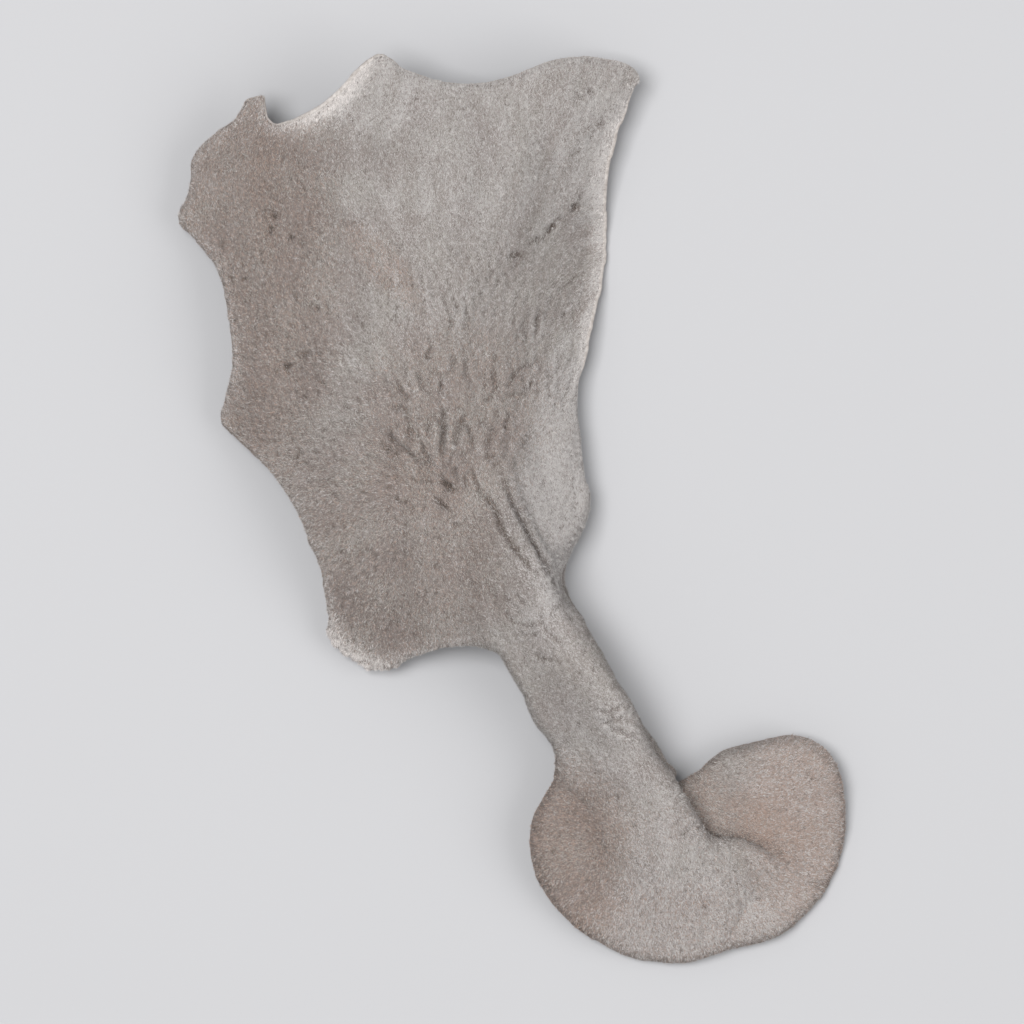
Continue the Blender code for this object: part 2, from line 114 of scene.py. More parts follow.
OUTLINE = (
    Stretch("top scallop", 1.8, 28, 0.5, 0, (
        (-13.8, 48.5), (-10.8, 47.0), (-7.9, 46.1), (-4.5, 45.7), (0.4, 46.7), (3.3, 48.0),
        (7.1, 48.7), (10.4, 48.4)), pale=0.3),
    Stretch("top right corner", 1.0, 20, 0.3, 0, (
        (11.9, 48.1), (13.4, 47.3), (14.0, 46.2), (13.4, 44.7)), pale=0.6),
    Stretch("right edge", 1.8, -24, 0.6, 0, (
        (12.4, 42.2), (11.5, 39.4), (10.9, 36.5), (10.6, 32.3), (10.5, 27.0), (9.9, 23.3),
        (8.9, 18.8)), pale=0.65, ragged=1.4),
    Stretch("flank", 1.6, 62, 0.7, 0, (
        (8.0, 15.1), (7.6, 11.8), (7.8, 8.4), (8.2, 4.6), (8.9, 1.6)), pale=0.6),
    Stretch("flank's end", 1.3, 80, 0.6, 1, (
        (8.5, -1.3), (6.9, -4.3), (6.2, -7.2))),
    Stretch("neck fold", 1.1, 94, 0.5, 0.75, (
        (7.4, -10.6), (11.0, -16.2), (13.6, -20.7)), shade=0.3),
    Stretch("crook of the neck", 1.0, 84, 0.5, 1, (
        (15.2, -24.7), (16.4, -26.8), (17.2, -28.4), (18.6, -28.0)), shade=0.3),
    Stretch("foot, upper edge", 1.6, 40, 0.5, 1, (
        (20.4, -26.6), (22.2, -25.1), (24.4, -24.4), (27.0, -23.8), (30.2, -23.3),
        (33.3, -24.5)), shade=0.5),
    Stretch("foot, right edge", 1.3, 58, 0.9, 0, (
        (35.4, -27.3), (36.2, -31.5), (36.2, -35.1), (35.1, -38.8), (33.3, -41.9),
        (30.7, -44.5)), shade=0.8),
    Stretch("foot, lower edge", 1.3, 46, 0.9, 0, (
        (28.1, -46.1), (25.5, -46.8), (22.9, -47.4), (20.3, -48.4), (16.6, -48.7),
        (13.0, -48.2), (10.4, -47.1), (7.8, -45.6), (5.2, -43.5)), shade=0.7),
    Stretch("foot, left edge", 1.3, 52, 0.9, 0, (
        (3.1, -40.8), (1.8, -37.7), (1.5, -35.1), (1.8, -32.5), (3.1, -29.9)), shade=0.8),
    Stretch("neck, left side", 1.9, 84, 2.2, 0, (
        (4.4, -26.9), (2.3, -22.4), (-0.1, -17.8), (-1.8, -15.3)), shade=0.2),
    Stretch("bottom notch", 1.5, 50, 0.6, 0, (
        (-2.8, -15.0), (-4.6, -14.7), (-6.6, -14.8), (-8.6, -15.4), (-10.7, -16.2)), pale=0.6),
    Stretch("lower lobe", 1.3, 46, 0.5, 0, (
        (-12.3, -17.3), (-14.2, -17.6), (-16.0, -17.1), (-17.7, -16.2), (-19.1, -14.9),
        (-20.2, -12.6)), pale=1.0, ragged=3.4),
    Stretch("lower left edge", 1.3, 42, 0.7, 0, (
        (-20.1, -10.0), (-20.5, -7.7), (-21.0, -5.6), (-21.9, -3.6), (-22.7, -1.4), (-25.0, 2.6),
        (-27.6, 5.6), (-29.7, 7.6)), pale=0.4, ragged=1.4),
    Stretch("left corner", 1.2, 46, 0.6, 0, (
        (-31.4, 9.6), (-30.9, 12.2), (-30.1, 15.8)), pale=0.6),
    Stretch("left lobe", 1.6, 50, 0.6, 0, (
        (-30.5, 20.4), (-31.3, 24.2), (-32.8, 27.2), (-35.0, 29.6), (-36.1, 31.3), (-35.2, 33.6),
        (-34.7, 35.8), (-34.7, 37.2), (-33.8, 39.0), (-32.0, 40.6)), pale=0.6, ragged=1.4),
    Stretch("ear tip", 0.6, 10, 0.25, 0, (
        (-30.3, 41.7), (-29.2, 42.5), (-28.4, 43.9), (-27.2, 44.4), (-26.1, 44.5),
        (-25.8, 43.3), (-25.6, 42.2), (-24.9, 41.5)), pale=0.5),
    Stretch("turned-up edge", 1.6, -44, 0.8, 0, (
        (-23.5, 41.8), (-22.2, 42.4), (-20.4, 43.3), (-18.8, 44.6), (-15.4, 47.8)), pale=1.0),
)

# x, y and the height of the sheet's middle, before the sheet is laid in the frame
SPOT_HEIGHTS = (
    # the ear, from its raised top edge down
    (-14.0, 47.5, 11.0), (-4.5, 45.0, 9.0), (5.0, 47.0, 8.6), (12.0, 46.0, 6.4),
    (-22.0, 37.0, 9.6), (-10.0, 33.0, 12.4), (0.0, 37.0, 9.8), (8.0, 38.5, 4.8),
    (-26.0, 43.0, 7.6), (-32.0, 38.0, 5.8), (-33.5, 31.0, 4.4), (-29.5, 21.0, 6.4),
    (-20.0, 21.0, 11.4), (-8.0, 19.0, 12.6), (1.0, 24.0, 8.0), (9.2, 29.0, 0.9),
    (8.6, 20.5, 2.2), (6.6, 11.0, 5.0), (-29.5, 11.0, 4.4), (-20.0, 4.0, 8.8),
    (-7.0, 5.0, 12.6), (-19.0, -6.0, 6.8), (-17.0, -14.5, 3.2), (-9.0, -7.0, 10.2),
    (-8.0, -13.8, 7.2), (5.6, 5.0, 6.4), (7.2, 0.0, 5.6),
    # the neck
    (0.5, -8.0, 12.0), (-0.6, -14.0, 9.2), (6.4, -15.6, 11.0), (2.8, -20.4, 8.6),
    (12.4, -23.8, 9.4), (6.2, -26.4, 7.2),
    # the foot lobe
    (4.0, -33.5, 5.5), (4.4, -40.0, 4.3), (11.0, -41.0, 4.9), (13.0, -46.6, 2.4),
    (21.0, -46.0, 3.4), (20.0, -40.5, 5.0), (29.5, -42.5, 2.8), (34.5, -35.0, 2.6),
    (32.5, -27.0, 5.0), (26.0, -26.5, 4.4), (24.0, -31.0, 3.8), (28.0, -36.0, 4.2),
    (12.0, -33.0, 6.8), (15.0, -33.4, 6.7), (19.4, -38.6, 5.6),
    # the foot lobe under the neck's fold
    (19.4, -28.4, 4.8), (20.2, -31.4, 4.3), (22.4, -34.6, 4.2),
)

# The neck's fold: x and y down its crest, how far the crest stands up, how wide its gentle side
# is, and how much of the section's push it has
NECK_FOLD = (
    (-3.6, 12.0, 0.0, 3.0, 0.0), (-2.6, 8.5, 0.5, 3.0, 0.0), (-1.2, 3.5, 1.2, 3.2, 0.0),
    (0.6, -2.2, 1.6, 3.6, 0.0), (2.8, -5.4, 1.8, 4.5, 0.0), (4.6, -7.8, 2.0, 5.0, 0.0),
    (6.8, -12.2, 2.8, 5.5, 0.0), (9.8, -17.4, 3.2, 6.0, 0.0), (12.3, -22.4, 3.0, 5.5, 0.0),
    (13.3, -25.6, 2.9, 5.0, 0.3), (14.2, -28.3, 3.1, 4.8, 0.8), (15.4, -31.1, 3.3, 5.0, 1.0),
    (17.0, -33.6, 3.1, 5.6, 1.0), (18.7, -35.8, 2.7, 6.2, 1.0), (21.0, -37.1, 2.2, 6.4, 1.0),
    (23.8, -37.2, 1.8, 5.6, 0.9), (26.1, -37.7, 1.1, 4.6, 0.6), (27.7, -38.7, 0.4, 3.6, 0.3),
    (28.8, -39.9, 0.0, 3.0, 0.0),
)
# The same up the other side of the neck, where it comes out of the foot lobe
NECK_SHOULDER = (
    (12.4, -39.2, 0.0, 3.0, 0.0), (11.8, -36.8, 0.05, 3.0, 0.05), (11.2, -34.4, 0.15, 3.0, 0.1),
    (10.6, -32.2, 0.3, 3.2, 0.14), (9.4, -30.2, 0.4, 3.2, 0.18), (7.6, -28.4, 0.4, 3.2, 0.2),
    (6.0, -26.6, 0.25, 3.0, 0.1), (4.9, -24.6, 0.0, 3.0, 0.0),
)
# The section of such a fold: how far past the crest a place is on the flat sheet, how far over the
# steep side it is pushed, and how much of the lift is gone there
FOLD_SECTION = (
    (-4.0, 0.0, 0.0), (-2.5, 0.25, 0.0), (-1.5, 0.65, 0.0), (-0.6, 1.25, 0.0), (-0.1, 1.65, 0.0),
    (0.2, 1.9, 0.03), (0.45, 2.0, 0.1), (0.7, 1.85, 0.24), (0.95, 1.4, 0.42), (1.2, 0.7, 0.6),
    (1.45, -0.05, 0.77), (1.7, -0.6, 0.9), (2.0, -0.95, 0.97), (2.4, -1.0, 1.0),
    (3.0, -0.8, 1.0), (4.0, -0.35, 1.0), (5.5, 0.0, 1.0),
)

# x, y and the heading of the felt's fibres in degrees, anticlockwise from +X
FIBRE_HEADINGS = (
    # the ear above the gathering
    (-12.0, 44.0, 70), (-2.0, 43.0, 86), (9.0, 44.0, 80), (-10.0, 34.0, 92), (0.0, 34.0, 84),
    (8.0, 36.0, 60), (-22.0, 37.0, 98), (-29.0, 40.0, 60), (-32.0, 32.0, 105), (-24.0, 28.0, 104),
    (-12.0, 25.0, 98), (-2.0, 24.0, 80), (4.0, 24.0, 52), (9.0, 29.0, 14), (9.0, 23.0, 28),
    # the fan round the gathering
    (-7.0, 15.0, 92), (-11.0, 11.0, 112), (-6.0, 9.0, 88), (-3.0, 12.0, 74), (0.0, 16.0, 70),
    (3.0, 14.0, 66), (6.0, 17.0, 54), (1.0, 8.0, 96), (5.0, 6.0, 88), (6.5, 0.0, 92),
    (-17.0, 9.0, 140), (-15.0, 3.0, 168), (-26.0, 12.0, 128), (-22.0, 2.0, 24),
    # the lower lobe
    (-15.0, -4.0, 40), (-16.0, -13.0, 60), (-8.0, -3.0, 96), (-9.0, -11.0, 100),
    # the neck
    (-3.0, 0.0, 110), (0.0, -8.0, 122), (5.0, -12.0, 122), (2.0, -17.0, 118), (9.0, -19.0, 122),
    (6.0, -24.0, 124), (13.0, -26.0, 124),
    # the foot lobe, where they fan out again
    (5.0, -32.0, 165), (4.0, -37.0, 15), (8.0, -42.0, 48), (15.0, -40.0, 78), (16.0, -45.0, 88),
    (22.0, -43.0, 112), (28.0, -42.0, 140), (32.0, -36.0, 168), (32.0, -29.0, 22),
    (26.0, -29.0, 10), (21.0, -33.0, 140), (14.0, -33.0, 112),
)


@dataclass(frozen=True)
class Oval:
    """A soft oval on the flattened sheet: full in its middle and nothing past its rim."""

    x: float
    y: float
    wide: float
    tall: float
    turn: float = 0.0
    rim: ClassVar[float] = 1.25
    fall: ClassVar[float] = 1.5

    def share(self, places: np.ndarray) -> np.ndarray:
        """How much of the oval is at each place, from 0 to 1.

        Args:
            places: cloth places, one row each.

        Returns:
            One share for each place.
        """
        across, up = along_and_beside(places - (self.x, self.y), math.radians(self.turn))
        return smooth_step(self.fall * (self.rim - np.hypot(across / self.wide, up / self.tall)))


@dataclass(frozen=True)
class Tint:
    """Where the felt is paler, tanned or taupe, and by how much; some ovals hold painted light, and
    some painted shade.
    """

    name: str
    oval: Oval
    pale: float = 0.0
    tan: float = 0.0
    taupe_and_shade: float = 0.0


TINTS = (
    # Painted pool of light over the upper right of the ear
    Tint("upper right, painted pool of light", Oval(1.0, 40.0, 14.0, 12.0), pale=0.42),
    Tint("under the turned-up edge", Oval(-14.5, 44.5, 6.0, 5.5, 40.0), pale=0.5),
    Tint("middle of the ear", Oval(-7.0, 26.0, 8.0, 10.0), pale=0.22),
    Tint("beside the right edge", Oval(9.5, 38.0, 4.5, 9.0), pale=0.3),
    Tint("pale patch left of the middle", Oval(-14.8, 33.0, 3.5, 4.5), pale=0.22),
    Tint("outer left lobe", Oval(-31.0, 35.5, 3.5, 6.0), pale=0.15),
    Tint("streak below the ear tip", Oval(-25.8, 34.5, 1.7, 7.5), tan=0.15, taupe_and_shade=0.3),
    Tint("beside that streak", Oval(-20.5, 33.5, 3.2, 7.0), taupe_and_shade=0.15),
    Tint("slanting streak", Oval(-13.5, 26.0, 2.0, 6.0, 40.0), tan=0.3, taupe_and_shade=0.1),
    # Painted light on the right flank, which slopes towards the right
    Tint("right flank", Oval(6.3, 3.0, 6.8, 15.0, -6.0), pale=1.0),
    Tint("neck", Oval(7.0, -19.0, 6.5, 14.0, 32.0), pale=0.22),
    Tint("neck, lower end", Oval(9.5, -25.0, 6.0, 7.0, 32.0), pale=0.25),
    Tint("top of the neck", Oval(-1.0, -5.0, 4.0, 7.0), taupe_and_shade=0.5),
    # Painted shade down the left side, which slopes away to the left, over its own tan
    Tint("left side", Oval(-28.0, 26.0, 10.0, 26.0), tan=0.35, taupe_and_shade=0.48),
    Tint("left of the middle", Oval(-20.0, 10.0, 9.0, 9.0), taupe_and_shade=0.12),
    Tint("right fan", Oval(6.0, 22.0, 6.0, 8.0), pale=0.12),
    Tint("wrinkled middle", Oval(-6.0, 10.0, 10.0, 10.0), tan=0.2, taupe_and_shade=0.25),
    Tint("lower ear", Oval(-13.0, -5.0, 11.0, 13.0), tan=0.2, taupe_and_shade=0.42),
    Tint("lower lobe", Oval(-15.0, -12.0, 7.0, 6.0), taupe_and_shade=0.14),
    Tint("foot, left side", Oval(4.0, -38.0, 8.5, 12.0, -12.0), tan=0.5, taupe_and_shade=0.5),
    Tint("foot, where the neck starts", Oval(10.0, -32.5, 3.0, 5.0, 20.0), taupe_and_shade=0.2, tan=0.1),
    Tint("foot, right side", Oval(31.0, -33.0, 7.0, 11.0), tan=0.6, pale=0.9),
    Tint("foot, lower side", Oval(17.0, -44.5, 14.0, 5.5), tan=0.25, pale=1.0),
    Tint("foot, middle", Oval(16.5, -37.0, 7.0, 8.0, 32.0), tan=0.08, pale=0.5),
)


@dataclass(frozen=True)
class Groove:
    """A listed wrinkle: a groove along a smooth line, with a soft ridge on either side.

    Its reach and the place of its ridges are counted in its widths.
    """

    points: tuple[tuple[float, float], ...]
    depth: float = 0.17
    width: float = 0.26
    steps: ClassVar[int] = 4
    ease_power: ClassVar[float] = 0.7
    reach: ClassVar[float] = 5.0
    ridge_at: ClassVar[float] = 2.1
    ridge_share: ClassVar[float] = 0.5

    def relief(self, places: np.ndarray) -> tuple[np.ndarray, np.ndarray]:
        """How the groove changes the felt.

        Args:
            places: cloth places, one row each.

        Returns:
            How far each place stands out, and how much of the groove is there, from 0 to 1.
        """
        line = between(np.array(self.points, float), self.steps, closed=False)
        ease = np.sin(math.pi * (np.arange(len(line)) + 0.5) / len(line)) ** self.ease_power
        reach = self.reach * self.width
        near = np.all((places > line.min(axis=0) - reach) & (places < line.max(axis=0) + reach), axis=1)
        out, share = np.zeros(len(places)), np.zeros(len(places))
        carried, offset = along_line(places[near], np.column_stack([line, ease]))
        away = np.abs(offset) / self.width
        share[near] = carried[:, 0] * np.exp(-(away**2))
        ridge = carried[:, 0] * np.exp(-((away - self.ridge_at) ** 2))
        out[near] = self.depth * (self.ridge_share * ridge - share[near])
        return out, share


# The wrinkles that stand out by themselves, from the top of the ear down
GROOVES = (
    Groove(((-4.8, 21.6), (-4.7, 20.2), (-4.9, 18.8)), 0.08),
    Groove(((-6.7, 21.2), (-6.5, 20.0), (-6.8, 18.6)), 0.08),
    Groove(((2.7, 21.7), (2.5, 20.2), (2.7, 18.6)), 0.1),
    Groove(((1.2, 20.4), (1.0, 19.4), (1.3, 18.2)), 0.09),
    Groove(((-9.1, 18.8), (-8.5, 17.6), (-8.8, 16.4), (-7.8, 16.1)), 0.11),
    Groove(((-1.7, 17.0), (-2.1, 15.2), (-1.8, 13.6), (-1.6, 11.8)), 0.13),
    Groove(((-0.6, 13.2), (0.2, 14.6), (1.6, 15.6), (3.4, 15.9)), 0.13),
    Groove(((0.6, 12.0), (1.4, 13.2), (2.8, 13.9)), 0.11),
    Groove(((-3.1, 14.8), (-2.8, 13.4), (-3.2, 11.9)), 0.12),
    Groove(((-7.6, 14.8), (-7.4, 13.4), (-7.8, 12.0)), 0.15),
    Groove(((-9.7, 14.3), (-9.5, 13.2), (-9.0, 12.4)), 0.13),
    Groove(((-12.0, 14.0), (-11.6, 12.9), (-10.8, 12.0)), 0.17, 0.3),
    Groove(((-12.7, 11.0), (-11.7, 11.0), (-10.6, 10.4)), 0.17, 0.34),
    Groove(((-12.1, 9.2), (-12.6, 8.0), (-12.0, 6.8)), 0.15, 0.3),
    Groove(((-13.4, 7.0), (-12.5, 6.4), (-11.5, 6.4)), 0.13, 0.28),
    Groove(((-10.6, 9.8), (-10.8, 8.4), (-10.4, 7.1)), 0.18, 0.32),
    Groove(((-8.9, 10.6), (-8.6, 9.2), (-8.9, 7.8)), 0.13, 0.3),
    Groove(((-7.6, 10.8), (-7.3, 9.4), (-7.3, 7.6), (-7.2, 5.8)), 0.2, 0.36),
    Groove(((-4.7, 11.0), (-5.4, 9.3), (-6.0, 7.7), (-5.4, 6.4)), 0.21, 0.28),
    Groove(((-5.2, 9.2), (-4.5, 8.6), (-4.1, 7.4), (-4.6, 6.3)), 0.19, 0.26),
    Groove(((-2.8, 9.2), (-2.4, 7.8), (-2.6, 6.6), (-1.9, 5.2)), 0.13),
    Groove(((-0.4, 10.6), (-0.8, 9.0), (-0.2, 7.6)), 0.1),
    Groove(((-9.4, 6.6), (-8.8, 5.6), (-8.3, 4.6)), 0.17),
    Groove(((-10.9, 3.9), (-10.0, 3.3), (-9.2, 3.2)), 0.12),
    Groove(((-12.4, 1.6), (-11.2, 1.0), (-10.3, 1.3)), 0.12),
    Groove(((-5.4, 4.6), (-4.7, 3.4), (-4.9, 2.2)), 0.12),
    Groove(((-6.6, -0.6), (-5.6, -1.4), (-4.8, -1.2)), 0.1),
    # the two creases that meet beside the crest of the fold
    Groove(((-4.2, 5.6), (-3.9, 3.8), (-3.2, 1.9), (-1.8, 0.5), (-1.2, -1.4), (-0.4, -2.8),
            (0.8, -4.7), (2.2, -6.4), (3.6, -8.4)), 0.26, 0.3),
    Groove(((-1.6, 5.4), (-0.8, 3.0), (-0.1, 1.0), (0.8, -0.8), (1.7, -2.8), (2.6, -4.3),
            (3.8, -6.6), (5.4, -9.4), (7.2, -12.4)), 0.3, 0.3),
    # arcs over the neck
    Groove(((8.9, -20.3), (10.2, -20.9), (11.4, -20.3), (12.4, -20.9)), 0.12),
    Groove(((9.0, -21.7), (10.1, -22.0), (11.2, -21.4), (12.3, -22.0)), 0.12),
    Groove(((10.3, -22.9), (11.2, -22.6), (12.0, -23.2), (13.0, -24.0)), 0.1),
    Groove(((2.6, -14.6), (3.8, -15.4), (5.4, -15.2)), 0.1),
    Groove(((0.3, -11.2), (1.8, -12.0), (3.2, -11.6)), 0.1),
    Groove(((0.6, -12.6), (2.0, -12.9), (3.0, -12.6)), 0.08),
    # the crease across the foot lobe to its right edge
    Groove(((31.6, -39.6), (33.0, -39.8), (34.4, -39.7)), 0.08, 0.4),
)


def smooth_step(values: np.ndarray) -> np.ndarray:
    """0 below 0, 1 above 1, and a smooth ramp between."""
    share = np.clip(values, 0.0, 1.0)
    return share * share * (3.0 - 2.0 * share)


def along_and_beside(offsets: np.ndarray, heading: float) -> tuple[np.ndarray, np.ndarray]:
    """How far each offset reaches along a heading in radians, and how far to the left of it."""
    along = offsets @ (math.cos(heading), math.sin(heading))
    return along, offsets @ (-math.sin(heading), math.cos(heading))


def covered(zones: tuple[Oval, ...], places: np.ndarray) -> np.ndarray:
    """How much of each place several ovals cover together, from 0 to 1."""
    return np.clip(sum(zone.share(places) for zone in zones), 0.0, 1.0)


def loop_through(points: list[tuple[float, float]], steps: int) -> np.ndarray:
    """The smooth closed curve through the given points.

    Args:
        points: the curve's knots, in order.
        steps: how many points to make from each knot to the next.

    Returns:
        The curve's points, one row each.
    """
    data = bpy.data.curves.new("ear_outline", "CURVE")
    data.dimensions = "2D"
    data.fill_mode = "NONE"
    data.resolution_u = steps
    spline = data.splines.new("BEZIER")
    spline.bezier_points.add(len(points) - 1)
    for knot, (x, y) in zip(spline.bezier_points, points):
        knot.co = (x, y, 0.0)
        knot.handle_left_type = knot.handle_right_type = "AUTO"
    spline.use_cyclic_u = True
    guide = bpy.data.objects.new("ear_outline", data)
    bpy.context.scene.collection.objects.link(guide)
    graph = bpy.context.evaluated_depsgraph_get()
    drawn = guide.evaluated_get(graph).to_mesh()
    dense = np.array([vertex.co[:2] for vertex in drawn.vertices])
    bpy.data.objects.remove(guide)
    return dense


def loop_lengths(points: np.ndarray) -> np.ndarray:
    """Length along a closed loop up to each point, and the whole length last."""
    steps = np.linalg.norm(np.roll(points, -1, axis=0) - points, axis=1)
    return np.concatenate([[0.0], np.cumsum(steps)])


def evenly_spaced(points: np.ndarray, values: np.ndarray, count: int) -> tuple[np.ndarray, np.ndarray]:
    """A closed loop sampled again at even lengths.

    Args:
        points: the loop's points.
        values: what goes with each point, one row each.
        count: how many points to make.

    Returns:
        The new points, and the values that go with them.
    """
    lengths = loop_lengths(points)
    wanted = np.arange(count) / count * lengths[-1]
    both = np.hstack([points, values])
    closed = np.vstack([both, both[:1]])
    made = np.column_stack([np.interp(wanted, lengths, column) for column in closed.T])
    return made[:, :2], made[:, 2:]


def smoothed_round(values: np.ndarray, spread: float) -> np.ndarray:
    """Values on a closed loop, blurred with a bell curve.

    Args:
        values: one row for each place on the loop, at even spacing.
        spread: the bell's spread, in places.

    Returns:
        The blurred values.
    """
    reach = int(3 * spread) + 1
    offsets = np.arange(-reach, reach + 1)
    weights = np.exp(-0.5 * (offsets / spread) ** 2)
    rolled = sum(w * np.roll(values, k, axis=0) for w, k in zip(weights, offsets))
    return rolled / weights.sum()


def between(rows: np.ndarray, steps: int, closed: bool) -> np.ndarray:
    """Rows of values with smooth ones put in between, by Catmull-Rom cubics.

    Args:
        rows: values at even stations, one row each.
        steps: how many rows to make from each station to the next.
        closed: whether the last station leads back to the first.

    Returns:
        The finer rows, which pass through the given ones.
    """
    count = len(rows)
    if closed:
        padded = np.vstack([rows[-1:], rows, rows[:2]])
        spans = count
    else:
        padded = np.vstack([2 * rows[:1] - rows[1:2], rows, 2 * rows[-1:] - rows[-2:-1]])
        spans = count - 1
    made = []
    for k in range(steps):
        t = k / steps
        before, start, end, after = (padded[j: j + spans] for j in range(4))
        cubic = 2 * start + (end - before) * t + (2 * before - 5 * start + 4 * end - after) * t**2
        made.append(0.5 * (cubic + (3 * start - before - 3 * end + after) * t**3))
    finer = np.stack(made, axis=1).reshape(-1, rows.shape[1])
    return finer if closed else np.vstack([finer, rows[-1:]])


def along_line(places: np.ndarray, line: np.ndarray) -> tuple[np.ndarray, np.ndarray]:
    """How places lie beside a line.

    Args:
        places: the places, one row each.
        line: rows of x, y and any values that the line carries.

    Returns:
        The line's values at its point nearest to each place, and the signed distance to it, which
        is positive to the left of the line as it runs.
    """
    best = np.full(len(places), np.inf)
    side = np.zeros(len(places))
    carried = np.zeros((len(places), line.shape[1] - 2))
    for start, end in zip(line[:-1], line[1:]):
        run = end[:2] - start[:2]
        share = np.clip(((places - start[:2]) @ run) / (run @ run), 0.0, 1.0)
        gap = places - (start[:2] + share[:, None] * run)
        distance = np.linalg.norm(gap, axis=1)
        nearer = distance < best
        best[nearer] = distance[nearer]
        side[nearer] = np.sign(gap[nearer, 1] * run[0] - gap[nearer, 0] * run[1])
        values = start[2:] + share[:, None] * (end[2:] - start[2:])
        carried[nearer] = values[nearer]
    return carried, best * side


def inside(places: np.ndarray, loop: np.ndarray) -> np.ndarray:
    """Which places lie inside a closed loop.

    Args:
        places: the places, one row each.
        loop: the loop's points.

    Returns:
        Whether each place is inside.
    """
    x, y = places[:, 0], places[:, 1]
    found = np.zeros(len(places), bool)
    for (x0, y0), (x1, y1) in zip(loop, np.roll(loop, -1, axis=0)):
        crosses = (y0 > y) != (y1 > y)
        with np.errstate(divide="ignore", invalid="ignore"):
            found ^= crosses & (x < x0 + (y - y0) * (x1 - x0) / (y1 - y0))
    return found


def lattice(low: np.ndarray, high: np.ndarray, spacing: float) -> np.ndarray:
    """A triangular lattice of points over a box.

    Args:
        low: the box's lowest corner.
        high: its highest corner.
        spacing: how far the points are from each other.

    Returns:
        The points, one row each.
    """
    rows = np.arange(low[1], high[1], spacing * math.sqrt(0.75))
    columns = np.arange(low[0], high[0], spacing)
    x, y = np.meshgrid(columns, rows)
    x[1::2] += spacing / 2
    return np.column_stack([x.ravel(), y.ravel()])


def unit(vectors: np.ndarray) -> np.ndarray:
    """Vectors of length 1, one row each."""
    return vectors / np.maximum(np.linalg.norm(vectors, axis=1), TINY)[:, None]


def strip(ring: np.ndarray, after: np.ndarray) -> list[np.ndarray]:
    """The triangles between a closed ring of points and the next one.

    Args:
        ring: the indices of the ring's points.
        after: the indices of the next ring's.

    Returns:
        Two arrays of triangles.
    """
    following = np.roll(after, -1)
    return [
        np.column_stack([ring, np.roll(ring, -1), following]),
        np.column_stack([ring, following, after]),
    ]


def point_normals(points: np.ndarray, triangles: np.ndarray) -> np.ndarray:
    """The smooth normal at each point of a mesh.

    Args:
        points: the mesh's points.
        triangles: its triangles.

    Returns:
        The normals, one row each.
    """
    a, b, c = (points[triangles[:, k]] for k in range(3))
    across = np.cross(b - a, c - a)
    totals = np.zeros_like(points)
    for k in range(3):
        for axis in range(3):
            totals[:, axis] += np.bincount(triangles[:, k], across[:, axis], len(points))
    return unit(totals)


def relaxed(points: np.ndarray, triangles: np.ndarray, pull: np.ndarray, rounds: int) -> np.ndarray:
    """A mesh with each point drawn towards the middle of its neighbours.

    Args:
        points: the mesh's points.
        triangles: its triangles.
        pull: how strongly each point is drawn, from 0 to 1.
        rounds: how often this is done.

    Returns:
        The moved points.
    """
    ends = np.vstack([triangles[:, [0, 1]], triangles[:, [1, 2]], triangles[:, [2, 0]]])
    count = np.bincount(ends.ravel(), minlength=len(points))[:, None]
    moved = points.copy()
    for _ in range(rounds):
        totals = np.zeros_like(moved)
        for axis in range(3):
            totals[:, axis] += np.bincount(ends[:, 0], moved[ends[:, 1], axis], len(points))
            totals[:, axis] += np.bincount(ends[:, 1], moved[ends[:, 0], axis], len(points))
        moved += pull[:, None] * (totals / count - moved)
    return moved


class ThinPlate:
    """The smoothest surface through spot heights."""

    def __init__(self, spots: tuple[tuple[float, float, float], ...]) -> None:
        """Fits the surface.

        Args:
            spots: rows of x, y and height.
        """
        table = np.asarray(spots, float)
        self.spots = table[:, :2]
        count = len(table)
        matrix = np.zeros((count + 3, count + 3))
        matrix[:count, :count] = self.kernel(self.spots)
        matrix[:count, count] = 1.0
        matrix[:count, count + 1:] = self.spots
        matrix[count:, :count] = matrix[:count, count:].T
        self.weights = np.linalg.solve(matrix, np.append(table[:, 2], np.zeros(3)))

    def kernel(self, places: np.ndarray) -> np.ndarray:
        """The bending kernel.

        Args:
            places: places on the plan, one row each.

        Returns:
            One row for each place, with a value for each spot.
        """
        gaps = places[:, None, :] - self.spots[None, :, :]
        squares = (gaps**2).sum(axis=2)
        return 0.5 * squares * np.log(squares + TINY)

    def heights(self, places: np.ndarray) -> np.ndarray:
        """The surface's height.

        Args:
            places: places on the plan, one row each.

        Returns:
            The height at each place.
        """
        count = len(self.spots)
        bend = self.kernel(places) @ self.weights[:count]
        return bend + self.weights[count] + places @ self.weights[count + 1:]


